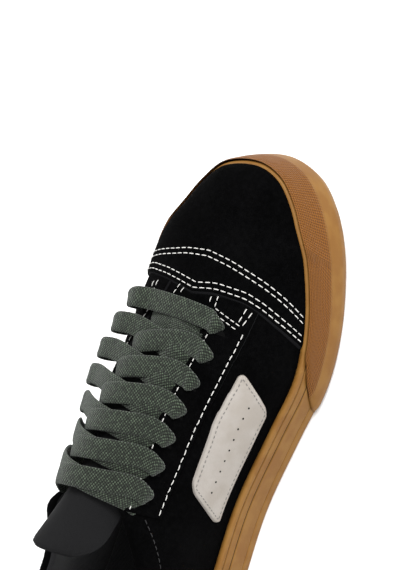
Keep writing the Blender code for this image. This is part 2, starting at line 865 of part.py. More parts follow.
def make_tongue(finish):
    """A curved pad under the throat that stands up past its top, with rounded corners."""
    steps, rows = 13, 6
    loops = []
    under = WALL + 4.6 * CLEARANCE
    for k in range(steps + 1):
        t = k / steps
        along = mix(THROAT_BASE + 0.02, TONGUE_TIP, 1 - (1 - t) ** 1.15)
        place = place_at(along)
        centre = centre_of(place)
        half_width = mix(TONGUE_HALF_WIDTH, TONGUE_TOP_HALF_WIDTH, eased(t * 1.4))
        corner = limited((t - 0.86) / 0.14)
        half_width *= math.sqrt(1 - 0.5 * corner**2.5)
        outer, inner = [], []
        for i in range(-rows, rows + 1):
            side = 1 if i >= 0 else -1
            base = foot(place, side, UPPER_INSET, 1.0)
            half = float(np.linalg.norm(base - centre))
            closed = dome(along, half, rim_height(base[1]) + CLEARANCE)
            share = share_at_distance(closed, half_width * abs(i) / rows)
            edge = 1 - 0.45 * (abs(i) / rows) ** 4
            outer.append(on_dome(place, side, share, -under))
            inner.append(on_dome(place, side, share, -under - TONGUE_THICKNESS * edge))
        loops.append(outer + inner[::-1])
    return body("tongue", *loft(loops, closed_round=False), finish)


# The laces

def over_dome(y, reach, out):
    """A point over the closed dome at a signed distance from the foot's middle line."""
    place = place_at(along_of(y))
    side = 1 if reach >= 0 else -1
    centre = centre_of(place)
    base = foot(place, side, UPPER_INSET, 1.0)
    half = float(np.linalg.norm(base - centre))
    closed = dome(along_of(y), half, rim_height(base[1]) + CLEARANCE)
    return on_dome(place, side, share_at_distance(closed, abs(reach)), out)


def eyelet_reach(place, side):
    closed, share, _ = band_shares(place, side, EYELET_INSET)
    return side * on_curve(closed, share)[0]


def lace_ribbon(name, start, end, start_out, end_out, finish):
    """A flat strap from one (y, signed distance) to another, that follows the dome between two heights."""
    steps = 7
    run = np.subtract(end, start)
    sideways = np.array([-run[1], run[0]]) / np.linalg.norm(run) * LACE_WIDTH / 2
    loops = []
    for k in range(steps + 1):
        t = k / steps
        out = mix(start_out, end_out, eased(1.6 * t))
        left, right = (start + run * t + turn * sideways for turn in (-1, 1))
        loops.append(
            [
                over_dome(*left, out),
                over_dome(*right, out),
                over_dome(*right, out + LACE_THICKNESS),
                over_dome(*left, out + LACE_THICKNESS),
            ]
        )
    return body(name, *loft(loops, closed_round=False), finish)


def make_laces(finish):
    """The bar across the first eyelets and the crossings above it, joined where they meet.

    A crossing comes up inside the throat, passes over its pair and the eyestay, and covers the next eyelet.
    """
    over = OVERLAY_CLEARANCE + OVERLAY_THICKNESS + LACE_LIFT
    at = eyelet_places()
    past = 1.5 * MM
    ends = [y_of(along_of(centre_of(p)[1])) for p in at]
    reach = {(k, side): eyelet_reach(p, side) for k, p in enumerate(at) for side in (1, -1)}
    start = np.array([ends[0], reach[0, -1] - past])
    end = np.array([ends[0], reach[0, 1] + past])
    laces = lace_ribbon("laces", start, end, over, over, finish)
    for k in range(EYELET_PAIRS - 1):
        for side in (1, -1):
            inside = side * (throat_half(along_of(ends[k])) - 2.5 * MM)
            start = np.array([ends[k] - 1 * MM, inside])
            end = np.array([ends[k + 1], reach[k + 1, -side] - side * past])
            under = over - LACE_THICKNESS + 0.4 * MM + (0.13 * MM if side > 0 else 0)
            crossing = lace_ribbon("crossing", start, end, under, over + 0.17 * MM * side, finish)
            crossing.hide_render = True
            crossing.display_type = "WIRE"
            join = laces.modifiers.new(crossing.name, "BOOLEAN")
            join.operation = "UNION"
            join.object = crossing
    return laces


def main():
    for existing in list(bpy.data.objects):
        bpy.data.objects.remove(existing)
    gum = material("gum_rubber", (0.42, 0.20, 0.06), 0.55)
    suede = material("black_suede", (0.012, 0.012, 0.013), 0.95)
    suede_overlay = material("black_suede_overlay", (0.016, 0.016, 0.017), 0.95)
    cotton = material("green_cotton", (0.10, 0.13, 0.10), 0.9)
    leather = material("off_white_leather", (0.62, 0.58, 0.54), 0.5)
    lining = material("black_lining", (0.02, 0.02, 0.02), 0.9)
    make_outsole(gum)
    make_sidewall(gum)
    make_toe_bumper(gum)
    make_insole(lining)
    make_upper(suede)
    make_toe_cap(suede_overlay)
    make_counter(suede_overlay)
    for side, word in ((1, "outer"), (-1, "inner")):
        make_eyestay(f"eyestay_{word}", side, suede_overlay)
        make_side_patch(f"side_patch_{word}", side, leather)
    make_tongue(suede)
    make_laces(cotton)


main()
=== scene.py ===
"""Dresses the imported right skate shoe: suede, gum rubber, woven laces, stitching and the studio round it.

The shoe's own shape functions are repeated here in metres, so each dressed piece lies where its solid lies.
A place round the shoe is one number: 0 to 1 fans round the heel from the back to the side, 1 to 2 runs along the
side, and 2 to 3 fans round the toe, on the outer side (+1) or the inner side (-1).
"""

import functools
import math

import bmesh
import bpy
import numpy as np
from bpy.props import FloatProperty, FloatVectorProperty, PointerProperty
from mathutils import Matrix, Vector


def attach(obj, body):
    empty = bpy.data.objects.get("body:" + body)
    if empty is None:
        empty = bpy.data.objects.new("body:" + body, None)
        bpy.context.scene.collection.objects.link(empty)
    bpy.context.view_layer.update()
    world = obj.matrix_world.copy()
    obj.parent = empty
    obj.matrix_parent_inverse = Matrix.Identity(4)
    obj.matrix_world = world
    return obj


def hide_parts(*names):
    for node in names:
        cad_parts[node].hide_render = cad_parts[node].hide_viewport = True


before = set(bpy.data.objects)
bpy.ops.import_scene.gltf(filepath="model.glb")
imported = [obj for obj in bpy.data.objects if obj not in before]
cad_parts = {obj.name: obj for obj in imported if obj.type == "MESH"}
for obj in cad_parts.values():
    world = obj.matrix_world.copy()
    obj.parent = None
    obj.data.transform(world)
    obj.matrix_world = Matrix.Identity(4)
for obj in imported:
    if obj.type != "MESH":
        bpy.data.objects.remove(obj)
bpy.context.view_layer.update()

bl_info = {
    "name": "Skate shoe",
    "version": (1, 0, 0),
    "blender": (4, 5, 0),
    "location": "3D View > Sidebar > Shoe",
    "description": "Makes a suede skate shoe with a gum rubber sole and flat laces",
    "category": "Object",
}

MM = 0.001

# Overall sizes
LENGTH = 290 * MM
BALL_WIDTH = 104 * MM
HEEL_WIDTH = 79 * MM
TOE_SPRING = 6 * MM
TOE_LEAN = 5.5 * MM
MIDDLE_SHIFT = 3 * MM
CLEARANCE = 0.3 * MM

# Rubber
OUTSOLE_THICKNESS = 6 * MM
SIDEWALL_HEIGHT = 25 * MM
SIDEWALL_THICKNESS = 3.4 * MM
FOOTBED_HEIGHT = 13 * MM
RIB_DEPTH = 0.8 * MM
BUMPER_THICKNESS = 1.8 * MM
BUMPER_HEIGHT = 32 * MM
BUMPER_SWEEP = 22 * MM
TREAD_DEPTH = 1.8 * MM
TREAD_GROOVE_WIDTH = 3 * MM
TREAD_PITCH = 12 * MM
TREAD_BORDER = 10 * MM

# How far the sidewall and the upper stand inside the shoe's whole outline
SOLE_INSET = BUMPER_THICKNESS + CLEARANCE
UPPER_INSET = SOLE_INSET + SIDEWALL_THICKNESS + CLEARANCE

# Upper
WALL = 2.2 * MM
COLLAR_PADDING = 6 * MM
COLLAR_PAD_DEPTH = 26 * MM
OVERLAY_THICKNESS = 1.4 * MM
INSTEP_HEIGHT = 92 * MM
COLLAR_HEIGHT = 80 * MM
COLLAR_HALF_WIDTH = 32 * MM
THROAT_GAP = 31 * MM
THROAT_TOP_GAP = 42 * MM
THROAT_ROUNDING = 12 * MM
EYESTAY_WIDTH = 21 * MM
EYELET_INSET = 8 * MM
EYELET_PAIRS = 7
INSOLE_THICKNESS = 4.5 * MM
TONGUE_THICKNESS = 5 * MM
TONGUE_HALF_WIDTH = 28 * MM
TONGUE_TOP_HALF_WIDTH = 23 * MM
PATCH_LOW = 7 * MM
PATCH_HIGH = 33 * MM
PATCH_GAP = 3 * MM
OUTLINE_SAMPLES = 24

# Places along the shoe, as shares of its length from the heel
HEEL_CENTRE = 0.135
TOE_CENTRE = 0.845
SPRING_START = 0.72
LEAN_START = 0.62
THROAT_BASE = 0.715
THROAT_TOP = 0.40
FIRST_EYELET = 0.695
LAST_EYELET = 0.42
BUMPER_END = 0.69
COUNTER_END = 0.24
PATCH_FRONT = 0.60
PATCH_BACK = 0.40
PATCH_LEAN = -0.055
TONGUE_TIP = 0.315


# The sole's outline: the place along it, its outer and inner half widths as shares of half the heel width or half
# the ball width, and how far it has gone from the one width to the other
OUTLINE = (
    (0.000, 0.00, 0.00, 0.00),
    (0.012, 0.42, 0.42, 0.00),
    (0.045, 0.72, 0.72, 0.00),
    (0.100, 0.93, 0.92, 0.00),
    (0.190, 1.00, 0.98, 0.00),
    (0.320, 0.93, 0.85, 0.30),
    (0.440, 0.86, 0.74, 0.65),
    (0.560, 0.92, 0.77, 0.90),
    (0.660, 1.000, 0.87, 1.00),
    (0.735, 0.985, 0.960, 1.00),
    (0.815, 0.895, 0.965, 1.00),
    (0.885, 0.765, 0.840, 1.00),
    (0.940, 0.590, 0.660, 1.00),
    (0.982, 0.350, 0.425, 1.00),
    (1.000, 0.02, -0.02, 1.00),
)

# The rubber's top edge, as shares of the sidewall height; the toe's share of the way to the bumper height
RIM_COLUMNS = ("along", "sidewall", "bumper")
RIM = (
    (0.00, 1.12, 0.0),
    (0.10, 1.10, 0.0),
    (0.30, 1.00, 0.0),
    (0.62, 1.00, 0.0),
    (0.76, 1.00, 0.40),
    (0.88, 1.00, 0.85),
    (1.00, 1.00, 1.0),
)

# The sidewall from its foot to its top: height as a share of the rim height, inset as a share of its thickness,
# and 1 at the bottom of a groove
SIDEWALL_COLUMNS = ("height", "inset", "rib")
SIDEWALL = (
    (0.00, 0.00, 0),
    (0.51, 0.00, 0),
    (0.55, 0.00, 1),
    (0.59, 0.04, 0),
    (0.80, 0.08, 0),
    (0.835, 0.10, 1),
    (0.87, 0.12, 0),
    (0.96, 0.20, 0),
    (1.00, 0.45, 0),
)

# The toe bumper from its foot to its top: height as a share of the rim height, inset as a share of its thickness,
# and how far its end sweeps back there, as a share of the sweep
BUMPER_COLUMNS = ("height", "inset", "sweep")
BUMPER = (
    (0.03, 0.45, 1.00),
    (0.185, 0.02, 0.95),
    (0.30, 0.00, 0.86),
    (0.52, 0.10, 0.66),
    (0.72, 0.30, 0.44),
    (0.90, 0.55, 0.10),
    (1.00, 0.95, -0.12),
)

# The closed dome over the foot: ridge height as a share of the instep height, the side's handle as a share of the
# height above the rubber, and the crown's handle as a share of the half width
DOME_COLUMNS = ("along", "ridge", "rise", "crown")
DOME = (
    (0.300, 1.310, 0.66, 0.50),
    (0.350, 1.190, 0.64, 0.50),
    (0.400, 1.085, 0.62, 0.50),
    (0.475, 0.980, 0.61, 0.50),
    (0.560, 0.872, 0.60, 0.52),
    (0.640, 0.735, 0.58, 0.54),
    (0.715, 0.605, 0.58, 0.56),
    (0.780, 0.530, 0.54, 0.56),
    (0.845, 0.490, 0.48, 0.54),
)

# The collar: its edge as shares of the collar's half width and height, and the two handles of each side section
# as shares of the same
COLLAR_COLUMNS = ("along", "edge_half", "edge_height", "pull_out", "pull_down", "lean", "rise")
COLLAR = (
    (0.000, 0.93, 1.00, 0.03, 0.22, 0.06, 0.24),
    (0.060, 0.95, 0.965, 0.03, 0.21, 0.06, 0.23),
    (0.135, 0.98, 0.89, 0.03, 0.19, 0.06, 0.20),
    (0.200, 1.00, 0.82, 0.05, 0.17, 0.05, 0.18),
    (0.260, 0.99, 0.81, 0.08, 0.17, 0.04, 0.18),
    (0.320, 0.92, 0.89, 0.16, 0.18, 0.03, 0.24),
    (0.365, 0.80, 1.00, 0.26, 0.14, 0.03, 0.34),
)

SIDES = ((1, "outer"), (-1, "inner"))

# Where round the toe the rubber leans in fully
LEAN_FULL_PLACE = 2.3


def mix(a, b, share):
    return a + (b - a) * share


def limited(value, low=0.0, high=1.0):
    return max(low, min(high, value))


def eased(share):
    share = limited(share)
    return share * share * (3 - 2 * share)


@functools.cache
def slopes(rows, column):
    """Slopes at a table's rows that never overshoot its values."""
    x = [row[0] for row in rows]
    y = [row[column] for row in rows]
    steps = [(y[i + 1] - y[i]) / (x[i + 1] - x[i]) for i in range(len(x) - 1)]
    inner = [
        0.0 if a * b <= 0 else 2 * a * b / (a + b)
        for a, b in zip(steps[:-1], steps[1:], strict=True)
    ]
    return [steps[0], *inner, steps[-1]]


def read(rows, columns, name, along):
    """A column of a table at a place between its rows, on a smooth curve."""
    column = columns.index(name)
    places = [row[0] for row in rows]
    along = limited(along, places[0], places[-1])
    i = min(int(np.searchsorted(places, along, side="right")) - 1, len(rows) - 2)
    span = places[i + 1] - places[i]
    t = (along - places[i]) / span
    low, high = rows[i][column], rows[i + 1][column]
    start, end = (slopes(rows, column)[k] * span for k in (i, i + 1))
    return (
        low * (1 + 2 * t) * (1 - t) ** 2
        + start * t * (1 - t) ** 2
        + high * t * t * (3 - 2 * t)
        + end * t * t * (t - 1)
    )


def y_of(along):
    return mix(-LENGTH / 2 - SOLE_INSET, LENGTH / 2, along)


def along_of(y):
    return (y + LENGTH / 2 + SOLE_INSET) / (LENGTH + SOLE_INSET)


def spring(y):
    """How far the curl of the toe lifts the shoe there."""
    run = limited((along_of(y) - SPRING_START) / (1 - SPRING_START))
    return TOE_SPRING * run * run


@functools.cache
def dense_outline():
    """The sole's outline as a closed curve through its table's points, as an array of (x, y)."""

    def half(ball):
        return mix(HEEL_WIDTH, BALL_WIDTH, ball) / 2

    points = [(outer * half(ball), y_of(along)) for along, outer, _, ball in OUTLINE]
    points += [(-inner * half(ball), y_of(along)) for along, _, inner, ball in OUTLINE[-2:0:-1]]
    points = np.array(points)
    count = len(points)
    curve = []
    for i in range(count):
        p = [points[(i + k) % count] for k in (-1, 0, 1, 2)]
        knots = [0.0]
        for a, b in zip(p[:-1], p[1:], strict=True):
            knots.append(knots[-1] + math.sqrt(np.linalg.norm(b - a)))
        for t in np.linspace(knots[1], knots[2], OUTLINE_SAMPLES, endpoint=False):
            level = list(p)
            for degree in (1, 2, 3):
                level = [
                    mix(level[k], level[k + 1], span_share(knots, k, degree, t))
                    for k in range(len(level) - 1)
                ]
            curve.append(level[0])
    return np.array(curve)


def span_share(knots, k, degree, t):
    """The weights of the centripetal curve through four points."""
    low, high = (k, k + 1) if degree == 1 else (k, k + 2) if degree == 2 else (1, 2)
    return (t - knots[low]) / (knots[high] - knots[low])


@functools.cache
def outline(inset):
    """The outline moved inwards by a distance."""
    points = dense_outline()
    tangents = np.roll(points, -1, axis=0) - np.roll(points, 1, axis=0)
    tangents /= np.linalg.norm(tangents, axis=1)[:, None]
    inwards = np.stack([-tangents[:, 1], tangents[:, 0]], axis=1)
    return points + inwards * inset


def spine_x(along):
    """The middle of the throat and the toe lies towards the inner side."""
    return -MIDDLE_SHIFT * eased((along - TONGUE_TIP + 0.05) / 0.20)


def centre_of(place):
    """The point of the foot's middle line that a place's section looks at."""
    along = mix(HEEL_CENTRE, TOE_CENTRE, limited(place - 1))
    return np.array([spine_x(along), y_of(along)])


@functools.cache
def fans(inset):
    """For the heel and the toe, angles from straight across and distances; for the sides, y and x."""
    points = outline(inset)
    tables = {}
    for end, place in (("heel", 1.0), ("toe", 2.0)):
        rays = points - centre_of(place)
        turn = -1 if end == "heel" else 1
        for side in (1, -1):
            angles = np.degrees(np.arctan2(rays[:, 1] * turn, rays[:, 0] * side))
            keep = (angles > -20) & (angles < 110)
            order = np.argsort(angles[keep])
            reach = np.linalg.norm(rays[keep], axis=1)
            tables[end, side] = angles[keep][order], reach[order]
    for side in (1, -1):
        keep = points[:, 0] * side > 0.2 * HEEL_WIDTH / 2
        order = np.argsort(points[keep][:, 1])
        tables["side", side] = points[keep][order][:, 1], points[keep][order][:, 0]
    return tables


@functools.cache
def foot(place, side, inset, lean_share=0.0):
    """The outline's point at a place round the shoe. The rubber leans in towards its rim round the toe."""
    if lean_share > 0 and place > place_at(LEAN_START):
        lean = eased((place - place_at(LEAN_START)) / (LEAN_FULL_PLACE - place_at(LEAN_START)))
        upright, leaned = foot(place, side, inset), foot(place, side, inset + TOE_LEAN)
        return mix(upright, leaned, lean * lean_share)
    tables = fans(inset)
    centre = centre_of(place)
    if 1 <= place <= 2:
        y, x = tables["side", side]
        return np.array([np.interp(centre[1], y, x), centre[1]])
    end, angle = ("heel", 90 * (1 - place)) if place < 1 else ("toe", 90 * (place - 2))
    angles, reach = tables[end, side]
    distance = np.interp(angle, angles, reach)
    turn = -1 if end == "heel" else 1
    direction = (math.cos(math.radians(angle)) * side, math.sin(math.radians(angle)) * turn)
    return centre + distance * np.array(direction)


def place_at(along):
    return 1 + (along - HEEL_CENTRE) / (TOE_CENTRE - HEEL_CENTRE)


def rim_height(y):
    along = along_of(y)
    sidewall = read(RIM, RIM_COLUMNS, "sidewall", along) * SIDEWALL_HEIGHT
    return mix(sidewall, BUMPER_HEIGHT, read(RIM, RIM_COLUMNS, "bumper", along))


def gap_line(along):
    """Half the gap between the eyestays, without the rounding at its base."""
    run = (THROAT_BASE - along) / (THROAT_BASE - THROAT_TOP)
    return mix(THROAT_GAP, THROAT_TOP_GAP, run) / 2


def throat_half(along):
    depth = (THROAT_BASE - along) * LENGTH
    if depth <= 0:
        return 0.0
    if depth >= THROAT_ROUNDING:
        return gap_line(along)
    return gap_line(along) * math.sqrt(1 - (1 - depth / THROAT_ROUNDING) ** 2)


def dome(along, half, low):
    """The four handles, as (distance from the middle, height), of a closed section."""
    ridge = read(DOME, DOME_COLUMNS, "ridge", along) * INSTEP_HEIGHT
    rise = read(DOME, DOME_COLUMNS, "rise", along)
    crown = read(DOME, DOME_COLUMNS, "crown", along)
    return np.array([(half, low), (half, mix(low, ridge, rise)), (half * crown, ridge), (0, ridge)])


def on_curve(handles, t):
    weights = ((1 - t) ** 3, 3 * t * (1 - t) ** 2, 3 * t * t * (1 - t), t**3)
    return sum(w * h for w, h in zip(weights, handles, strict=True))


def share_at_distance(handles, distance):
    """Where on a section's curve it has come in to a distance from the middle."""
    low, high = 0.0, 1.0
    for _ in range(30):
        half = (low + high) / 2
        if on_curve(handles, half)[0] > distance:
            low = half
        else:
            high = half
    return (low + high) / 2


def first_part(handles, t):
    """The handles of a curve's part before t."""
    level, kept = [np.array(h, float) for h in handles], []
    while level:
        kept.append(level[0])
        level = [mix(a, b, t) for a, b in zip(level[:-1], level[1:], strict=True)]
    return np.array(kept)


@functools.cache
def foot_span(place, side):
    """A place's centre, its direction across the foot, the half width there and the y of its foot."""
    centre = centre_of(place)
    base = foot(place, side, UPPER_INSET, 1.0)
    half = float(np.linalg.norm(base - centre))
    return centre, (base - centre) / half, half, base[1]


@functools.cache
def closed_dome(place, side):
    """A place's centre, its direction across, and the handles of its closed dome."""
    centre, across, half, foot_y = foot_span(place, side)
    return centre, across, dome(along_of(centre[1]), half, rim_height(foot_y) + CLEARANCE)


@functools.cache
def section(place, side):
    """A place's centre, its direction across the foot, and the four handles of the upper's outer face."""
    centre, across, half, foot_y = foot_span(place, side)
    along = along_of(centre[1] if place >= 1 else foot_y)
    if along < THROAT_TOP:
        return centre, across, collar_handles(along, side, half, rim_height(foot_y) + CLEARANCE)
    handles, gap = closed_dome(place, side)[2], throat_half(along)
    return centre, across, first_part(handles, share_at_distance(handles, gap)) if gap else handles


@functools.cache
def collar_rows(side):
    """The collar's table with one more row, where it meets the top of the throat."""
    _, _, handles = section(place_at(THROAT_TOP), side)
    (half, low), (out, up), (pull_x, pull_z), (edge_x, edge_z) = handles
    row = (
        THROAT_TOP,
        edge_x / COLLAR_HALF_WIDTH,
        edge_z / COLLAR_HEIGHT,
        (pull_x - edge_x) / COLLAR_HALF_WIDTH,
        (edge_z - pull_z) / COLLAR_HEIGHT,
        (out - half) / COLLAR_HALF_WIDTH,
        (up - low) / COLLAR_HEIGHT,
    )
    return (*COLLAR, row)


def collar_handles(along, side, half, low):
    rows = collar_rows(side)
    edge_half, edge_height, pull_out, pull_down, lean, rise = (
        read(rows, COLLAR_COLUMNS, name, along) for name in COLLAR_COLUMNS[1:]
    )
    edge = edge_half * COLLAR_HALF_WIDTH, edge_height * COLLAR_HEIGHT
    return np.array(
        [
            (half, low),
            (half + lean * COLLAR_HALF_WIDTH, low + rise * COLLAR_HEIGHT),
            (edge[0] + pull_out * COLLAR_HALF_WIDTH, edge[1] - pull_down * COLLAR_HEIGHT),
            edge,
        ]
    )


def sprung(point, height):
    """A point in space, lifted by the curl of the toe."""
    x, y = point
    return x, y, height + spring(y)


def in_space(centre, across, distance, height):
    return sprung(centre + across * distance, height)


def lifted(centre, across, handles, share, out):
    """A point of a section's curve, moved out of it by a distance."""
    r, z = on_curve(handles, share)
    step = 1e-3
    run, climb = on_curve(handles, min(1, share + step)) - on_curve(handles, max(0, share - step))
    length = math.hypot(run, climb)
    return in_space(centre, across, r + climb / length * out, z - run / length * out)


def surface(place, side, share, out=0.0):
    """A point of the upper's outer face, moved out of it by a distance."""
    return lifted(*section(place, side), share, out)


def on_dome(place, side, share, out):
    """A point over the closed dome, also where the throat is open."""
    return lifted(*closed_dome(place, side), share, out)


def wall_at(place, height_to_edge):
    """The wall's thickness, which grows to the collar's padding near its edge."""
    along = along_of(centre_of(place)[1])
    padded = eased((THROAT_TOP - along) / 0.05)
    near_edge = eased(1 - height_to_edge / COLLAR_PAD_DEPTH)
    return mix(WALL, COLLAR_PADDING, padded * near_edge)


@functools.cache
def band_shares(place, side, width):
    """Where on a section the eyestay starts and ends, measured from the throat's edge."""
    centre, _, closed = closed_dome(place, side)
    edge = share_at_distance(closed, gap_line(along_of(centre[1])))
    travelled, share, last = 0.0, edge, on_curve(closed, edge)
    while travelled < width and share > 0:
        share -= 0.005
        point = on_curve(closed, share)
        travelled += float(np.linalg.norm(point - last))
        last = point
    return closed, share, edge


def eyelet_places():
    return [
        place_at(mix(FIRST_EYELET, LAST_EYELET, k / (EYELET_PAIRS - 1)))
        for k in range(EYELET_PAIRS)
    ]


def over_dome(y, reach, out):
    """A point over the closed dome at a signed distance from the foot's middle line."""
    place = place_at(along_of(y))
    side = 1 if reach >= 0 else -1
    return on_dome(place, side, share_at_distance(closed_dome(place, side)[2], abs(reach)), out)


def share_at_height(handles, height):
    """Where on a section's curve it first reaches a height."""
    shares = np.linspace(0, 1, 200)
    heights = on_curve(handles, shares[:, None])[:, 1]
    return float(np.interp(height, np.maximum.accumulate(heights), shares))


def below_eyestay(place, side):
    """The highest share on a section that stays clear of the eyestay."""
    if place < place_at(THROAT_TOP):
        return 1.0
    _, low, edge = band_shares(place, side, EYESTAY_WIDTH + PATCH_GAP)
    return low / edge if throat_half(along_of(centre_of(place)[1])) else low


# The seams, read from the shoe: how far along the shoe each line lies at a share of the way up the side
SEAM_COLUMNS = ("share", "front_outer", "front_inner", "back_outer", "back_inner")
SEAM = (
    (0.00, 0.755, 0.776, 0.727, 0.755),
    (0.10, 0.7625, 0.779, 0.7335, 0.759),
    (0.33, 0.7815, 0.788, 0.750, 0.7665),
    (0.50, 0.7935, 0.7955, 0.7625, 0.7705),
    (0.66, 0.8025, 0.8025, 0.7695, 0.7705),
    (0.83, 0.811, 0.811, 0.770, 0.7675),
    (1.00, 0.816, 0.816, 0.762, 0.762),
)
ROW_SPACING = 2.7 * MM
CAP_CUT = 5.9 * MM
BAND_WIDTH = 19.5 * MM


def seam_along(name, side, share):
    """How far along the shoe a seam lies, as a share of the length."""
    return read(SEAM, SEAM_COLUMNS, f"{name}_{'outer' if side > 0 else 'inner'}", share)


def cut_along(side, share):
    """Where the toe cap ends, behind its last seam."""
    return seam_along("back", side, share) - CAP_CUT / LENGTH


# Meshes

def lengths_along(points):
    steps = np.linalg.norm(np.diff(points, axis=0), axis=1)
    return np.concatenate([[0], np.cumsum(steps)])


def grid_piece(name, rows, finishes, close_rows=False, close_round=False, caps=False, choose=None, skip=None):
    """A smooth piece from rows of points, with a map in metres along and across it.

    close_rows joins each row's ends, and close_round joins the last row to the first. choose gives a quad's finish
    from its row and column, and skip leaves a quad out.
    """
    points = np.array(rows, float)
    count, width = points.shape[:2]
    middle = points[:, :: max(1, width // 5)].mean(axis=1)
    along = np.mean([lengths_along(points[:, j]) for j in range(0, width, max(1, width // 6))], axis=0)
    across = np.mean([lengths_along(points[i]) for i in range(0, count, max(1, count // 6))], axis=0)
    end_across = across[-1] + float(np.linalg.norm(points[count // 2, 0] - points[count // 2, -1]))
    end_along = along[-1] + float(np.linalg.norm(middle[0] - middle[-1]))
    work = bmesh.new()
    verts = [[work.verts.new(p) for p in row] for row in points]
    uv_layer = work.loops.layers.uv.new("map")
    for i in range(count if close_round else count - 1):
        for j in range(width if close_rows else width - 1):
            if skip and skip(i, j):
                continue
            i2, j2 = (i + 1) % count, (j + 1) % width
            face = work.faces.new((verts[i][j], verts[i2][j], verts[i2][j2], verts[i][j2]))
            face.smooth = True
            face.material_index = choose(i, j) if choose else 0
            u = (along[i], along[i2] if i2 else end_along)
            v = (across[j], across[j2] if j2 else end_across)
            for loop, at in zip(face.loops, ((0, 0), (1, 0), (1, 1), (0, 1)), strict=True):
                loop[uv_layer].uv = (u[at[0]], v[at[1]])
    if caps:
        for row in (verts[0], verts[-1]):
            face = work.faces.new(row)
            face.smooth = True
    bmesh.ops.remove_doubles(work, verts=work.verts, dist=0.005 * MM)
    bmesh.ops.recalc_face_normals(work, faces=work.faces)
    return finish_piece(name, work, finishes)


def placed(name, data):
    """A new object in the scene."""
    made = bpy.data.objects.new(name, data)
    bpy.context.scene.collection.objects.link(made)
    return made


def mesh_object(name, work, finishes=()):
    """A new object from a bmesh, which is used up."""
    mesh = bpy.data.meshes.new(name)
    work.to_mesh(mesh)
    work.free()
    for finish in finishes:
        mesh.materials.append(finish)
    return placed(name, mesh)


def finish_piece(name, work, finishes):
    piece = mesh_object(name, work, finishes)
    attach(piece, "root")
    return piece


def edge_spaced(count, length, edge=0.45 * MM):
    """Shares from 0 to 1 with a fine pair of rows at both ends, and how far up its thickness each stands."""
    near = [0, edge / length, 2.4 * edge / length]
    middle = list(np.linspace(near[-1], 1 - near[-1], count)[1:-1])
    shares = near + middle + [1 - s for s in reversed(near)]
    lifts = [0, 0.78, 1] + [1] * len(middle) + [1, 0.78, 0]
    return shares, lifts


# Heights over the upper of a sewn piece's lowest edge and of the toe cap's face
EDGE_LOW = -0.35 * MM
CAP_TOP = 1.75 * MM


def overlay_heights(row_lifts, column_lifts):
    return [[mix(EDGE_LOW, OVERLAY_THICKNESS, min(a, b)) for b in column_lifts] for a in row_lifts]


# Materials

class Field:
    """A number that changes over a surface. An expression on it adds its Math nodes."""

    def __init__(self, finish, socket):
        self.finish = finish
        self.socket = socket

    def math(self, operation, *others):
        node = self.finish.node("ShaderNodeMath", {"operation": operation}, [self, *others])
        return Field(self.finish, node.outputs[0])

    def __add__(self, other):
        return self.math("ADD", other)

    __radd__ = __add__

    def __mul__(self, other):
        return self.math("MULTIPLY", other)

    __rmul__ = __mul__

    def __sub__(self, other):
        return self.math("SUBTRACT", other)

    def __rsub__(self, other):
        return (self * -1) + other

    def __truediv__(self, other):
        return self.math("DIVIDE", other)

    def sine(self):
        return self.math("SINE")

    def size(self):
        return self.math("ABSOLUTE")

    def over(self, low, high):
        """0 below low, 1 above high, and smooth between."""
        node = self.finish.node(
            "ShaderNodeMapRange",
            {"interpolation_type": "SMOOTHSTEP"},
            {"Value": self, "From Min": low, "From Max": high},
        )
        return Field(self.finish, node.outputs["Result"])


class Finish:
    """A material with one shader, whose nodes all come from node()."""

    def __init__(self, name, **constants):
        self.material = bpy.data.materials.new(name)
        self.material.use_nodes = True
        self.tree = self.material.node_tree
        self.shader = self.tree.nodes["Principled BSDF"]
        for socket, value in constants.items():
            self.put(self.shader.inputs[socket.replace("_", " ")], value)

    def put(self, socket, value):
        if isinstance(value, Field):
            self.tree.links.new(value.socket, socket)
        elif isinstance(value, bpy.types.NodeSocket):
            self.tree.links.new(value, socket)
        elif isinstance(value, tuple) and len(value) == 3 and socket.type == "RGBA":
            socket.default_value = (*value, 1)
        else:
            socket.default_value = value

    def node(self, kind, settings=None, sockets=None):
        """A node of a kind, with its settings first and then the values or links of its sockets."""
        made = self.tree.nodes.new(kind)
        for name, value in (settings or {}).items():
            setattr(made, name, value)
        pairs = sockets.items() if isinstance(sockets, dict) else enumerate(sockets or [])
        for key, value in pairs:
            self.put(made.inputs[key], value)
        return made

    def place(self):
        return self.node("ShaderNodeTexCoord").outputs["Object"]

    def map_parts(self):
        """The two numbers of the piece's own map, in metres along and across it."""
        parts = self.node("ShaderNodeSeparateXYZ", {}, [self.node("ShaderNodeTexCoord").outputs["UV"]])
        return Field(self, parts.outputs[0]), Field(self, parts.outputs[1])

    def noise(self, grain, detail=2.0):
        """Noise from 0 to 1 whose grains are about that many metres across."""
        sockets = {"Vector": self.place(), "Scale": 1 / grain, "Detail": detail, "Roughness": 0.5}
        return Field(self, self.node("ShaderNodeTexNoise", {}, sockets).outputs[0])

    def blend(self, share, first, second):
        """A colour between two others."""
        return self.node("ShaderNodeMix", {"data_type": "RGBA"}, {0: share, 6: first, 7: second}).outputs[2]

    def colour(self, value):
        self.put(self.shader.inputs["Base Color"], value)

    def rough(self, value):
        self.put(self.shader.inputs["Roughness"], value)

    def bump(self, height, depth):
        """Relief of a real depth in metres, from a height of 0 to 1."""
        made = self.node("ShaderNodeBump", {}, {"Height": height, "Distance": depth, "Strength": 1.0})
        self.put(self.shader.inputs["Normal"], made.outputs[0])


def settings():
    return bpy.context.scene.shoe


def shaded(colour, *factors):
    """A colour times one factor, or times one for each of its parts."""
    factors = factors if len(factors) == 3 else factors * 3
    return tuple(c * k for c, k in zip(colour, factors, strict=True))


def checks(u, v, pitch):
    """Two crossing waves: a woven or knitted grid, from -1 to 1."""
    turn = 2 * math.pi / pitch
    return (u * turn).sine() * (v * turn).sine()


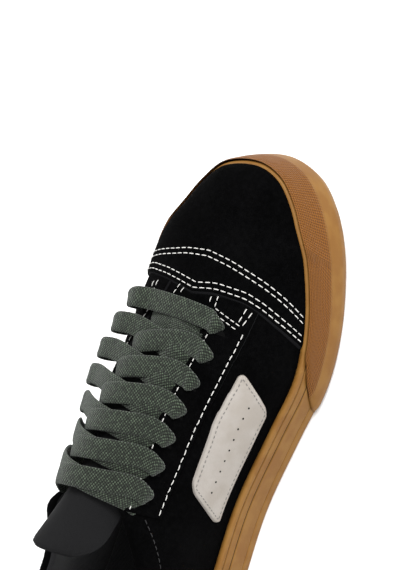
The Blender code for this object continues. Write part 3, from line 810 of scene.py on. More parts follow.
def crossed(u, v, pitch, part=Field.sine):
    """Two waves that cross the map's lines at 45 degrees."""
    turn = 2 * math.pi / pitch
    return part((u * 0.5 + v * 0.5) * turn) * part((u * 0.5 - v * 0.5) * turn)


def plain_finish(name, grain, detail, first, second, rough, depth, **constants):
    """A material whose only pattern is one fine noise between two colours."""
    finish = Finish(name, **constants)
    fibre = finish.noise(grain, detail)
    finish.colour(finish.blend(fibre, first, second))
    finish.rough(rough)
    finish.bump(fibre, depth)
    return finish.material


@functools.cache
def suede():
    """Short brushed nap: fine fibres, clumps of them and broad patches where it was stroked."""
    finish = Finish("black_suede_nap", Specular_IOR_Level=0.012, Sheen_Weight=0.003, Sheen_Roughness=0.5)
    fibre = finish.noise(0.35 * MM, 3)
    clump = finish.noise(2.2 * MM, 3)
    stroke = finish.noise(22 * MM, 2)
    nap = fibre * 0.55 + clump * 0.3 + stroke * 0.25
    dark = tuple(settings().suede)
    pale = tuple(min(1, c * 3.4 + 0.0006) for c in dark)
    finish.colour(finish.blend(nap.over(0.42, 0.78), dark, pale))
    finish.rough(0.86 + fibre * 0.14)
    finish.bump(fibre * 0.7 + clump * 0.5, 0.28 * MM)
    return finish.material


@functools.cache
def raw_edge():
    """The cut edge of a suede piece, where the grey inner layer shows."""
    colours = (0.003, 0.003, 0.0034), (0.011, 0.011, 0.012)
    return plain_finish("suede_cut_edge", 0.3 * MM, 3, *colours, 0.95, 0.2 * MM, Specular_IOR_Level=0.05)


@functools.cache
def lining():
    """Black knitted lining with a fine grid."""
    finish = Finish("black_lining_knit", Specular_IOR_Level=0.2, Sheen_Weight=0.1)
    u, v = finish.map_parts()
    knit = checks(u, v, 1.1 * MM)
    grain = finish.noise(0.5 * MM)
    finish.colour(finish.blend(knit * 0.25 + grain * 0.6, (0.009, 0.009, 0.010), (0.028, 0.028, 0.030)))
    finish.rough(0.9)
    finish.bump(knit * 0.5 + grain * 0.4, 0.25 * MM)
    return finish.material


@functools.cache
def gum():
    """Smooth moulded gum rubber with a faint cloud in its colour."""
    finish = Finish("gum_rubber_smooth", Specular_IOR_Level=0.22)
    cloud = finish.noise(9 * MM, 3)
    grain = finish.noise(0.5 * MM)
    base = tuple(settings().gum)
    deep = shaded(base, 0.86, 0.78, 0.66)
    finish.colour(finish.blend(cloud.over(0.35, 0.65), base, deep))
    finish.rough(0.5 + grain * 0.14)
    finish.bump(grain * 0.4 + cloud * 0.2, 0.06 * MM)
    return finish.material


@functools.cache
def gum_groove_shade():
    """Painted shade: a darker line along the bottom of a moulded groove, where shade falls."""
    colours = (shaded(settings().gum, factor) for factor in (0.22, 0.34))
    return plain_finish("gum_rubber_groove_shade", 0.5 * MM, 2, *colours, 0.65, 0.05 * MM, Specular_IOR_Level=0.25)


@functools.cache
def gum_diamond():
    """Gum rubber with a fine moulded diamond texture in a band under its rim. The band is coloured darker than the
    plain rubber, partly as its own deeper tone and partly as painted shade for the diamonds' self-shadowing; the
    pits between the diamonds are painted shade.
    """
    finish = Finish("gum_rubber_diamond", Specular_IOR_Level=0.18)
    u, v = finish.map_parts()
    diamond = crossed(u, v, settings().diamond_pitch) * 0.5 + 0.5
    height = v / (BUMPER_HEIGHT * 0.97)
    band = height.over(0.40, 0.50)
    cloud = finish.noise(9 * MM, 3)
    grain = finish.noise(0.5 * MM)
    base = tuple(settings().gum)
    deep = shaded(base, 0.86, 0.78, 0.66)
    # painted shade: the pits are coloured dark, and even the diamonds' tops are darker than the plain rubber
    diamond_pit_shade, ridge = shaded(base, 0.40, 0.27, 0.10), shaded(base, 0.96, 0.74, 0.46)
    plain = finish.blend(cloud.over(0.35, 0.65), base, deep)
    diamonds_with_shade = finish.blend(diamond.over(0.10, 0.80), diamond_pit_shade, ridge)
    finish.colour(finish.blend(band, plain, diamonds_with_shade))
    finish.rough(0.5 + grain * 0.12 + band * 0.08)
    finish.bump(diamond * band * 0.9 + grain * 0.08, 0.5 * MM)
    return finish.material


@functools.cache
def woven():
    """A flat lace: a close weave of two green-grey yarns, with painted shade in the gaps between them and patchy
    painted highlights where one comes up.
    """
    finish = Finish("green_cotton_weave", Specular_IOR_Level=0.2, Sheen_Weight=0.15, Sheen_Roughness=0.5)
    u, v = finish.map_parts()
    pitch = settings().weave_pitch
    cross = crossed(u, v, pitch, lambda wave: wave.sine().size())
    highlight_patches = finish.noise(pitch * 0.9, 2)
    broad = finish.noise(6 * MM, 2)
    fibre = finish.noise(0.16 * MM, 2)
    base = tuple(settings().lace)
    # painted shade: the weave's gaps are coloured far darker than the yarn
    shade = shaded(base, 0.12)
    highlight_colour = tuple(min(1, c * 5.0) for c in base)
    yarn = finish.blend(cross.over(0.04, 0.50), shade, base)
    # painted highlight: pale patches on the tops of the raised yarns
    raised = cross.over(0.30, 0.85) * highlight_patches.over(0.42, 0.58)
    finish.colour(finish.blend(raised * (0.55 + broad * 0.5), yarn, highlight_colour))
    finish.rough(0.82 + fibre * 0.15)
    finish.bump(cross * 0.8 + fibre * 0.25, 0.45 * MM)
    return finish.material


@functools.cache
def pale_leather():
    """Smooth off-white leather with a pebbled grain and shallow wrinkles."""
    finish = Finish("off_white_leather_grain", Specular_IOR_Level=0.4)
    pebble = finish.node("ShaderNodeTexVoronoi", {}, {"Vector": finish.place(), "Scale": 1 / (1.1 * MM)})
    grain = Field(finish, pebble.outputs["Distance"])
    cloud = finish.noise(12 * MM, 3)
    base = tuple(settings().leather)
    finish.colour(finish.blend(cloud.over(0.3, 0.7), base, shaded(base, 0.86, 0.84, 0.81)))
    finish.rough(0.42 + grain * 0.2)
    finish.bump((1 - grain) * 0.6 + cloud * 0.8, 0.09 * MM)
    return finish.material


@functools.cache
def thread():
    """White waxed thread with its ply showing."""
    base = tuple(settings().thread)
    look = {"Specular_IOR_Level": 0.3, "Sheen_Weight": 0.2}
    return plain_finish("white_thread", 0.2 * MM, 2, shaded(base, 0.75), base, 0.7, 0.05 * MM, **look)


@functools.cache
def dark_thread():
    colours = (0.10, 0.095, 0.09), (0.2, 0.19, 0.18)
    return plain_finish("grey_thread", 0.2 * MM, 2, *colours, 0.75, 0.05 * MM, Specular_IOR_Level=0.25)


@functools.cache
def black_thread():
    colours = (0.004, 0.004, 0.004), (0.016, 0.016, 0.017)
    return plain_finish("black_thread", 0.2 * MM, 2, *colours, 0.6, 0.05 * MM, Specular_IOR_Level=0.3)


@functools.cache
def hole_backing_and_shade():
    """The dark inside of a punched hole: the black material under the hole and painted shade inside it."""
    colours = (0.001, 0.001, 0.001), (0.004, 0.004, 0.004)
    return plain_finish("punched_hole", 0.3 * MM, 2, *colours, 1.0, 0.1 * MM, Specular_IOR_Level=0.05)


# The pieces

def fine_places():
    """The places of the dressed upper's sections, from the heel's back to the toe's tip."""
    heel = np.linspace(0, 1, 22, endpoint=False)
    collar = np.linspace(1, place_at(THROAT_TOP), 26, endpoint=False)
    start = THROAT_BASE - THROAT_ROUNDING / LENGTH
    throat = np.linspace(place_at(THROAT_TOP), place_at(start), 30, endpoint=False)
    turns = np.linspace(math.pi / 2, 0, 12, endpoint=False)
    base = [place_at(THROAT_BASE - THROAT_ROUNDING / LENGTH * (1 - math.cos(a))) for a in turns]
    vamp = np.linspace(place_at(THROAT_BASE), 2, 14, endpoint=False)
    toe = np.linspace(2, 3, 27)
    return [float(p) for p in (*heel, *collar, *throat, *base, *vamp, *toe)]


def around(listed):
    """Places and sides once round the shoe: up the outer side and back down the inner side."""
    return [(p, 1) for p in listed] + [(p, -1) for p in listed[-2:0:-1]]


SECTION_ROWS = 30
LOW_ROWS = 3


def make_upper():
    """The hollow suede shell, with its padded collar rolled over into the lining."""
    rows, opens = [], []
    for place, side in around(fine_places()):
        centre, across, handles = section(place, side)
        (half, rim_z), edge_z = handles[0], handles[3][1]
        low_heights = [mix(FOOTBED_HEIGHT + CLEARANCE, rim_z, i / LOW_ROWS) for i in range(LOW_ROWS)]
        outer, inner = ([in_space(centre, across, r, z) for z in low_heights] for r in (half, half - WALL))
        for share in (i / SECTION_ROWS for i in range(SECTION_ROWS + 1)):
            wall = wall_at(place, edge_z - on_curve(handles, share)[1])
            outer.append(surface(place, side, share))
            inner.append(surface(place, side, share, -wall))
        is_open = place < place_at(THROAT_TOP) or throat_half(along_of(centre[1])) > 0
        first, last = np.array(outer[-1]), np.array(inner[-1])
        middle = (first + last) / 2
        rim = []
        lift = np.subtract(outer[-1], outer[-2])
        lift = lift / max(1e-9, np.linalg.norm(lift)) * min(wall_at(place, 0) / 2, handles[3][0] / 4)
        for turn in (30, 60, 90, 120, 150):
            angle = math.radians(turn)
            over = middle + (first - last) / 2 * math.cos(angle) + lift * math.sin(angle)
            rim.append(over if is_open else middle)
        rows.append([*outer, *rim, *reversed(inner)])
        opens.append(is_open)
    top = LOW_ROWS + SECTION_ROWS
    count = len(rows)

    def hidden(i, j):
        return top <= j < top + 6 and not (opens[i] and opens[(i + 1) % count])

    # a closed section has no rim, so its outer and inner faces meet the next ones over the ridge
    piece = grid_piece(
        "suede_upper",
        rows,
        [suede(), lining()],
        close_rows=True,
        close_round=True,
        choose=lambda i, j: 1 if j > top + 3 else 0,
        skip=hidden,
    )
    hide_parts("upper")


def sewn_sheet(name, columns, lifts, finish, node, edge_finish=None, on=surface):
    """A thin sewn-on piece: a grid of (place, side, share), each point lifted off the upper."""
    rows = [
        [on(*at, out) for at, out in zip(column, heights, strict=True)]
        for column, heights in zip(columns, lifts, strict=True)
    ]

    def choose(i, j):
        corners = (*lifts[i][j : j + 2], *lifts[i + 1][j : j + 2])
        return 1 if edge_finish and min(corners) < 0.5 * OVERLAY_THICKNESS and max(corners) > 0 else 0

    finishes = [finish, edge_finish] if edge_finish else [finish]
    piece = grid_piece(name, rows, finishes, choose=choose)
    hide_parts(node)


def make_toe_cap():
    """The toe cap from its cut edge round to its cut edge, over the toes."""
    steps, across = 46, 34
    half = [0.0, 0.006, 0.013] + list(np.linspace(0.013, 1, steps))[1:]
    lift = [0, 0.78, 1] + [1] * (steps - 1)
    columns, lifts = [], []
    for side, order in ((1, range(len(half))), (-1, range(len(half) - 2, -1, -1))):
        for k in order:
            shares = [i / across for i in range(across + 1)]
            columns.append([(mix(place_at(cut_along(side, s)), 3, half[k]), side, s) for s in shares])
            lifts.append([mix(EDGE_LOW, CAP_TOP, lift[k])] * (across + 1))
    sewn_sheet("suede_toe_cap", columns, lifts, suede(), "toe_cap", raw_edge(), on_dome)


def make_counter():
    """The heel counter wraps the back of the heel and narrows towards its top."""
    half, half_lifts = edge_spaced(40, 0.13)
    up, up_lifts = edge_spaced(16, 0.045)
    # its foot goes down behind the rubber, so it has no rounded edge there
    up, up_lifts = up[2:], up_lifts[2:]
    columns = []
    for k in half:
        turn = 2 * k - 1
        side = 1 if turn >= 0 else -1
        column = []
        for i in up:
            share = 0.82 * (i - up[0]) / (1 - up[0])
            end = place_at(mix(COUNTER_END, 0.17, eased(share)))
            column.append((abs(turn) * end, side, share))
        columns.append(column)
    lifts = overlay_heights(half_lifts, up_lifts)
    sewn_sheet("suede_heel_counter", columns, lifts, suede(), "heel_counter", raw_edge())


def patch_at(side, k, i):
    """The (place, side, share) of a point of a patch: k from its back to its front, i from its foot to its top."""
    place = place_at(mix(PATCH_BACK, PATCH_FRONT, k) - PATCH_LEAN * i)
    _, _, handles = section(place, side)
    low = share_at_height(handles, handles[0][1] + PATCH_LOW)
    high = min(share_at_height(handles, handles[0][1] + PATCH_HIGH), below_eyestay(place, side))
    return place, side, mix(low, high, i)


def patch_point(side, k, i, out):
    return surface(*patch_at(side, k, i), out)


def make_side_patches():
    """A plain four-sided leather patch with round corners on each quarter."""
    corner = 5 * MM
    wide_length = (PATCH_FRONT - PATCH_BACK) * LENGTH
    for side, word in SIDES:
        wide, wide_lifts = edge_spaced(36, 0.070)
        tall, tall_lifts = edge_spaced(18, 0.026)
        columns = []
        for k in wide:
            column = []
            for i in tall:
                from_edge = min(i, 1 - i) * (PATCH_HIGH - PATCH_LOW)
                round_in = corner - math.sqrt(max(0, corner**2 - max(0, corner - from_edge) ** 2))
                inwards = round_in / wide_length
                column.append(patch_at(side, mix(inwards, 1 - inwards, k), i))
            columns.append(column)
        lifts = overlay_heights(wide_lifts, tall_lifts)
        sewn_sheet(
            f"leather_patch_{word}", columns, lifts, pale_leather(), f"side_patch_{word}"
        )


def make_eyestays():
    for side, word in SIDES:
        across, across_lifts = edge_spaced(12, BAND_WIDTH)
        steps, step_lifts = edge_spaced(70, 0.10)
        _, low, high = band_shares(place_at(0.75), side, BAND_WIDTH)
        fronts = [cut_along(side, mix(low, high, s)) + 0.002 for s in across]
        rows = []
        for k, up in zip(steps, step_lifts, strict=True):
            row = []
            for i, (share, lift) in enumerate(zip(across, across_lifts, strict=True)):
                place = place_at(mix(THROAT_TOP, fronts[i], k))
                _, low, high = band_shares(place, side, BAND_WIDTH)
                height = mix(EDGE_LOW, OVERLAY_THICKNESS, min(1.0 if k > 0.5 else up, lift))
                row.append(on_dome(place, side, mix(low, high, share), height))
            rows.append(row)

        def choose(i, j, lifts=across_lifts):
            return 1 if lifts[j] + lifts[j + 1] < 1.0 else 0

        piece = grid_piece(f"suede_eyestay_{word}", rows, [suede(), raw_edge()], choose=choose)
        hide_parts(f"eyestay_{word}")


@functools.cache
def tongue_cloth():
    """Black canvas with a plain weave."""
    finish = Finish("black_tongue_canvas", Specular_IOR_Level=0.15)
    u, v = finish.map_parts()
    weave = checks(u, v, 0.9 * MM) * 0.5 + 0.5
    grain = finish.noise(0.4 * MM)
    finish.colour(finish.blend(weave * 0.5 + grain * 0.4, (0.002, 0.002, 0.002), (0.009, 0.009, 0.010)))
    finish.rough(0.9)
    finish.bump(weave * 0.7 + grain * 0.3, 0.2 * MM)
    return finish.material


def make_tongue():
    """A padded tongue under the laces, rounded at its tip."""
    steps, rows = 54, 14
    under = WALL + 4.6 * CLEARANCE
    loops = []
    for k in range(steps + 1):
        t = k / steps
        along = mix(THROAT_BASE + 0.02, TONGUE_TIP, 1 - (1 - t) ** 1.15)
        place = place_at(along)
        half_width = mix(TONGUE_HALF_WIDTH, TONGUE_TOP_HALF_WIDTH, eased(t * 1.4))
        corner = limited((t - 0.86) / 0.14)
        half_width *= math.sqrt(1 - 0.5 * corner**2.5)
        to_tip = (1 - t) * (THROAT_BASE - TONGUE_TIP) * LENGTH
        plump = math.sqrt(limited(1 - (1 - min(1, to_tip / (4 * MM))) ** 2, 0.02))
        outer, inner = [], []
        for i in range(-rows, rows + 1):
            side = 1 if i >= 0 else -1
            reach = math.sin(i / rows * math.pi / 2)
            closed = closed_dome(place, side)[2]
            share = share_at_distance(closed, half_width * abs(reach))
            edge = plump * max(0.02, 1 - abs(reach) ** 5)
            middle = under + TONGUE_THICKNESS / 2
            outer.append(on_dome(place, side, share, -middle + TONGUE_THICKNESS / 2 * edge))
            inner.append(on_dome(place, side, share, -middle - TONGUE_THICKNESS / 2 * edge))
        loops.append([*outer, *reversed(inner)])
    piece = grid_piece("padded_tongue", loops, [tongue_cloth()], close_rows=True, caps=True)
    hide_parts("tongue")


def make_insole():
    listed = [*np.linspace(0, 1, 20, endpoint=False), *np.linspace(1, 2, 40, endpoint=False), *np.linspace(2, 3, 24)]
    inset = UPPER_INSET + WALL + CLEARANCE
    low, top = FOOTBED_HEIGHT + CLEARANCE, FOOTBED_HEIGHT + CLEARANCE + INSOLE_THICKNESS
    profile = [(0.0, low), (0.0, mix(low, top, 0.7)), (0.02, mix(low, top, 0.92)), (0.06, top)]
    profile += [(f, top - 0.8 * MM * math.sin(f * math.pi / 2)) for f in (0.16, 0.32, 0.5, 0.7, 0.88, 1.0)]
    columns = []
    for place, side in around(listed):
        base = foot(place, side, inset, 1.0)
        centre = centre_of(place)
        columns.append([sprung(mix(base, centre, inwards), z) for inwards, z in profile])
    piece = grid_piece("insole_pad", columns, [lining()], close_round=True)
    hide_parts("insole")


def rubber_places():
    heel = np.linspace(0, 1, 36, endpoint=False)
    side = np.linspace(1, 2, 84, endpoint=False)
    toe = np.linspace(2, 3, 48)
    return [float(p) for p in (*heel, *side, *toe)]


def groove(height, middle, half_width, depth):
    """How deep a moulded groove is at a share of the wall's height."""
    away = abs(height - middle) / half_width
    return depth * (1 - eased(away)) if away < 1 else 0.0


# The sidewall's grooves: place as a share of its height, half width, depth in rib depths, and half the width of the
# line of painted shade along its bottom
GROOVES = ((0.55, 0.036, 1.6, 0.021), (0.835, 0.026, 1.2, 0.014))


def make_sidewall():
    """The rubber cup with two moulded grooves round it."""
    bottom = OUTSOLE_THICKNESS + 0.05 * MM
    heights = sorted({*np.linspace(0.04, 0.95, 44), *np.linspace(0.53, 0.57, 9), *np.linspace(0.815, 0.855, 7)})
    profile = [(0.0, 0.5 * MM), (0.012, 0.15 * MM)]
    for h in heights:
        inset = max(0.0, read(SIDEWALL, SIDEWALL_COLUMNS, "inset", h)) * SIDEWALL_THICKNESS
        inset += sum(groove(h, middle, half, depth * RIB_DEPTH) for middle, half, depth, _ in GROOVES)
        inset += 0.12 * MM * (math.sin((h - 0.57) / 0.25 * math.pi) if 0.57 < h < 0.82 else 0)
        profile.append((float(h), inset))
    edge = SIDEWALL_THICKNESS
    profile += [(0.975, 0.22 * edge), (0.99, 0.32 * edge), (1.0, 0.50 * edge), (1.0, 0.9 * edge)]
    columns = []
    for place, side in around(rubber_places()):
        rim = rim_height(foot(place, side, SOLE_INSET)[1])
        column = [sprung(foot(place, side, SOLE_INSET + inset, h), mix(bottom, rim, h)) for h, inset in profile]
        base = foot(place, side, SOLE_INSET + edge, 1.0)
        column += [sprung(mix(base, centre_of(place), inwards), FOOTBED_HEIGHT) for inwards in (0, 0.4, 0.75, 1.0)]
        columns.append(column)

    # the quads along each groove's bottom get the painted groove shade
    def choose(i, j):
        h = profile[j][0] if j < len(profile) else 1
        return 1 if any(abs(h - middle) < dark for middle, _, _, dark in GROOVES) else 0

    piece = grid_piece("rubber_sidewall", columns, [gum(), gum_groove_shade()], close_round=True, choose=choose)
    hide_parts("sidewall")


def make_outsole():
    """The outsole with rounded edges; its tread grooves are cut into it."""
    edge = 1.2 * MM
    rings = [(edge * (1 - math.sin(a)), edge * (1 - math.cos(a))) for a in np.linspace(0, math.pi / 2, 6)]
    rings += [(0, z) for z in (2.4 * MM, 4 * MM, OUTSOLE_THICKNESS - 0.2 * MM)] + [(0.3 * MM, OUTSOLE_THICKNESS)]
    columns = []
    for place, side in around(rubber_places()):
        centre = centre_of(place)
        low, high = (foot(place, side, SOLE_INSET + inset) for inset in (edge, 0.3 * MM))
        column = [sprung(mix(low, centre, inwards), 0) for inwards in (1.0, 0.85, 0.6, 0.35, 0.15)]
        column += [sprung(foot(place, side, SOLE_INSET + inset), z) for inset, z in rings]
        column += [sprung(mix(high, centre, inwards), OUTSOLE_THICKNESS) for inwards in (0.15, 0.6, 1.0)]
        columns.append(column)
    piece = grid_piece("rubber_outsole", columns, [gum()], close_round=True)
    cutter = tread_cutter()
    cut = piece.modifiers.new("tread", "BOOLEAN")
    cut.operation = "DIFFERENCE"
    cut.object = cutter
    bpy.context.view_layer.update()
    cut_mesh = bpy.data.meshes.new_from_object(piece.evaluated_get(bpy.context.evaluated_depsgraph_get()))
    piece.modifiers.clear()
    piece.data = cut_mesh
    bpy.data.objects.remove(cutter)
    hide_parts("outsole")


def tread_cutter():
    """Bars across the forefoot and the heel that cut the tread."""
    work = bmesh.new()
    for start, end in ((0.10, 0.30), (0.55, 0.86)):
        count = int((end - start) * LENGTH / TREAD_PITCH) + 1
        for k in range(count):
            y = y_of(start) + k * TREAD_PITCH
            place = limited(place_at(along_of(y)), 1, 2)
            reach = [foot(place, side, SOLE_INSET + TREAD_BORDER)[0] for side in (-1, 1)]
            low, high = -2 * MM, TREAD_DEPTH + spring(y)
            half = TREAD_GROOVE_WIDTH / 2
            corners = [
                work.verts.new((x, y + dy, z))
                for z in (low, high)
                for x, dy in ((reach[0], -half), (reach[1], -half), (reach[1], half), (reach[0], half))
            ]
            for order in ((0, 1, 2, 3), (7, 6, 5, 4), (0, 4, 5, 1), (1, 5, 6, 2), (2, 6, 7, 3), (3, 7, 4, 0)):
                work.faces.new([corners[i] for i in order])
    bmesh.ops.recalc_face_normals(work, faces=work.faces)
    return mesh_object("tread_bars", work)


def bumper_profile():
    """The toe bumper's rows: height, inset and sweep, on smooth curves through its table."""
    rows = []
    for h in (0.03, 0.05, 0.08, 0.12, 0.155, *np.linspace(0.19, 0.90, 26), 0.93, 0.955, 0.975, 0.99, 1.0):
        rows.append((float(h), *(read(BUMPER, BUMPER_COLUMNS, name, h) for name in ("inset", "sweep"))))
    return rows


def make_toe_bumper():
    """The toe bumper: a smooth rounded lower half under a band of moulded diamonds."""
    bottom = OUTSOLE_THICKNESS + CLEARANCE
    half = [0, 0.004, 0.010, 0.018] + list(np.linspace(0.018, 1, 96))[1:]
    lip = [0.95, 0.45, 0.12, 0] + [0] * 95
    profile = bumper_profile()

    def row(height, sweep, inset, lips):
        end = place_at(BUMPER_END - sweep * BUMPER_SWEEP / LENGTH)
        points = []
        for side, order in ((1, range(len(half))), (-1, range(len(half) - 2, -1, -1))):
            for k in order:
                place = mix(end, 3, half[k])
                deep = min(BUMPER_THICKNESS * 0.95, inset + lips * lip[k] * BUMPER_THICKNESS)
                rim = rim_height(foot(place, side, deep)[1])
                z = height * rim + 0.4 * MM
                points.append(sprung(foot(place, side, deep, limited((z - bottom) / (rim - bottom))), z))
        return points

    outer = [row(h, sweep, inset * BUMPER_THICKNESS, 1) for h, inset, sweep in profile]
    inner = [row(h, sweep, BUMPER_THICKNESS, 0) for h, _, sweep in profile[::6] + profile[-1:]]
    loops = [[r[i] for r in outer] + [r[i] for r in reversed(inner)] for i in range(len(outer[0]))]
    piece = grid_piece("rubber_toe_bumper", loops, [gum_diamond()], close_rows=True, caps=True)
    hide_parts("toe_bumper")


# Laces

LACE_BROAD = 10.2 * MM
LACE_THICK = 1.9 * MM
EYELETS = [y_of(along_of(float(centre_of(p)[1]))) for p in eyelet_places()]
PITCH = EYELETS[0] - EYELETS[1]


def smooth_path(points, steps):
    """Points on a smooth curve through others, evenly spaced in number between them."""
    points = [np.array(p, float) for p in points]
    padded = [2 * points[0] - points[1], *points, 2 * points[-1] - points[-2]]
    curve = []
    for i in range(1, len(padded) - 2):
        a, b, c, d = padded[i - 1 : i + 3]
        for t in np.linspace(0, 1, steps, endpoint=False):
            curve.append(
                0.5 * (2 * b + (c - a) * t + (2 * a - 5 * b + 4 * c - d) * t**2 + (3 * b - a - 3 * c + d) * t**3)
            )
    return [*curve, points[-1]]


@functools.cache
def dome_arc(place, side):
    """Distances from the ridge down a closed section, with the share of the section at each."""
    shares = np.linspace(1, 0, 90)
    points = on_curve(closed_dome(place, side)[2], shares[:, None])
    return lengths_along(points), shares


def over_arc(y, distance, out):
    """A point over the dome at a signed distance from its ridge, measured on the surface."""
    place = place_at(along_of(y))
    side = 1 if distance >= 0 else -1
    lengths, shares = dome_arc(place, side)
    return on_dome(place, side, float(np.interp(abs(distance), lengths, shares)), out)


def arc_to(place, side, share):
    """The distance on the surface from the ridge to a share of a closed section."""
    lengths, shares = dome_arc(place, side)
    return float(np.interp(1 - share, 1 - shares, lengths))


def throat_edge(y, side):
    """The distance on the surface from the ridge to the throat's edge."""
    place = place_at(along_of(y))
    return arc_to(place, side, band_shares(place, side, 0)[2])


def unit(vector):
    return vector / (np.linalg.norm(vector) + 1e-12)


def lace_strap(stations):
    """A flat woven strap. A station is (y, distance on the surface, height, width, thickness, dent)."""
    path = np.array(smooth_path(stations, 9))
    around_it = 22
    centres = np.array([over_arc(y, d, out) for y, d, out, *_ in path])
    above = np.array([over_arc(y, d, out + 1 * MM) for y, d, out, *_ in path]) - centres
    heading = np.gradient(centres, axis=0)
    last = len(path) - 1
    # a long base keeps the strap's width in one direction while it folds over at an eyelet
    base = 22
    rows = []
    for k, (_, _, _, width, thick, dent) in enumerate(path):
        overall = centres[min(k + base, last)] - centres[max(k - base, 0)]
        sideways = unit(np.cross(above[k], overall))
        face = unit(np.cross(heading[k], sideways))
        row = []
        for i in range(around_it):
            a = 2 * math.pi * i / around_it
            c, s = math.cos(a), math.sin(a)
            w = math.copysign(abs(c) ** 0.62, c) * width / 2
            t = math.copysign(abs(s) ** 0.75, s) * thick / 2
            if s > 0:
                t -= dent * math.exp(-((w / (0.16 * width)) ** 2))
            row.append(centres[k] + sideways * w + face * t)
        rows.append(row)
    return rows


def strap_piece(name, stations, replaces=False):
    piece = grid_piece(name, lace_strap(stations), [woven()], close_rows=True, caps=True)
    if replaces:
        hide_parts("laces")


def eyelet_end(y, side, reach):
    """The fold of a strap at its eyelet, from inside the hole to lying on the eyestay.

    The inner side's folds stand up in loose loops, and every strap bows towards the toe from its eyelet.
    """
    loop = 0.6 * MM if side < 0 else -1.2 * MM
    lift = mix(3.0, 6.5, eased((y - EYELETS[-1]) / (EYELETS[2] - EYELETS[-1]))) * MM if side < 0 else 0.0
    y += 1.5 * MM
    return [
        (y, side * (reach - 1.2 * MM), -3.0 * MM, 3.4 * MM, 2.6 * MM, 0.0),
        (y, side * (reach - 0.4 * MM + 0.2 * loop), -0.4 * MM, 4.6 * MM, 2.8 * MM, 0.0),
        (y + 0.3 * MM, side * (reach + 0.5 * MM + 0.6 * loop), 1.8 * MM + 0.3 * lift, 6.6 * MM, 2.7 * MM, 0.1 * MM),
        (y + 1.0 * MM, side * (reach + 0.1 * MM + loop), 3.5 * MM + 0.8 * lift, 8.0 * MM, 2.6 * MM, 0.45 * MM),
        (y + 2.2 * MM, side * (reach - 2.2 * MM + 0.7 * loop), 4.3 * MM + lift, 9.0 * MM, 2.3 * MM, 0.5 * MM),
        (y + 3.6 * MM, side * (reach - 5.6 * MM + 0.3 * loop), 4.2 * MM + lift, 9.9 * MM, 2.0 * MM, 0.2 * MM),
    ]


def make_laces():
    reach = {
        (k, side): arc_to(p, side, band_shares(p, side, EYELET_INSET)[1])
        for k, p in enumerate(eyelet_places())
        for side in (1, -1)
    }
    flat = (LACE_BROAD, LACE_THICK, 0.0)
    bow = 6.5 * MM
    bar = eyelet_end(EYELETS[0], -1, reach[0, -1])
    over = ((-13, 7.2), (-4, 5.8), (5, 4.9))
    bar += [(EYELETS[0] + bow - abs(x) * 0.04 * MM, x * MM, h * MM, *flat) for x, h in over]
    bar += eyelet_end(EYELETS[0] + 0.4 * MM, 1, reach[0, 1] - 2.2 * MM)[::-1]
    strap_piece("lace_bar", bar, replaces=True)
    for side, lift in ((-1, 0.0), (1, 0.55 * MM)):
        y1, y2 = EYELETS[0] - 0.05 * PITCH, EYELETS[0] - (0.50 if side < 0 else 0.28) * PITCH
        word = "outer" if side > 0 else "inner"
        edge = throat_edge(y1, side)
        under = [
            (y1 + 0.06 * PITCH, side * (edge + 1.0 * MM), -2.8 * MM, LACE_BROAD * 0.9, 0.9 * MM, 0.0),
            (y1, side * (edge - 2.5 * MM), -1.5 * MM + lift, *flat),
            (mix(y1, y2, 0.35), side * 4 * MM, -0.6 * MM + lift, *flat),
            (mix(y1, y2, 0.65), -side * 4 * MM, -0.6 * MM + lift, *flat),
            (y2, -side * (edge - 2.5 * MM), -1.5 * MM + lift, *flat),
            (y2, -side * (edge + 1.0 * MM), -2.8 * MM, LACE_BROAD * 0.9, 0.9 * MM, 0.0),
        ]
        strap_piece(f"lace_under_{word}", under)
    for k in range(1, EYELET_PAIRS):
        for side in (-1, 1):
            top = side > 0
            word = "outer" if top else "inner"
            y = EYELETS[k]
            end = y - 0.34 * PITCH
            edge = throat_edge(end, side)
            middle = 3.7 * MM if top else 1.9 * MM
            stations = eyelet_end(y, side, reach[k, side])
            stations += [
                (y + bow - 0.6 * MM, side * (edge - 5.5 * MM), (4.0 if top else 6.5) * MM, *flat),
                (mix(y, end, 0.30) + 0.7 * bow, side * 1.0 * MM, middle + (0 if top else 0.4) * MM, *flat),
                (mix(y, end, 0.65) + 0.35 * bow, -side * (edge - 9 * MM), middle - 0.6 * MM, *flat),
                (end + 0.5 * MM, -side * (edge - 2.4 * MM), (0.1 if top else -0.9) * MM, LACE_BROAD, 1.5 * MM, 0.0),
                (end - 0.4 * MM, -side * (edge + 1.0 * MM), -2.8 * MM, LACE_BROAD * 0.9, 0.9 * MM, 0.0),
            ]
            strap_piece(f"lace_{word}_{k + 1}", stations)


# Stitches, holes and their places

STITCH = 2.8 * MM
STITCH_GAP = 0.9 * MM
STITCH_THICKNESS = 0.46 * MM

# A stitch's rings: how far along it, size as a share of its thickness, and height in thicknesses
DASH_RINGS = ((0.0, 0.35, -0.25), (0.12, 0.85, 0.25), (0.5, 1.0, 0.55), (0.88, 0.85, 0.25), (1.0, 0.35, -0.25))


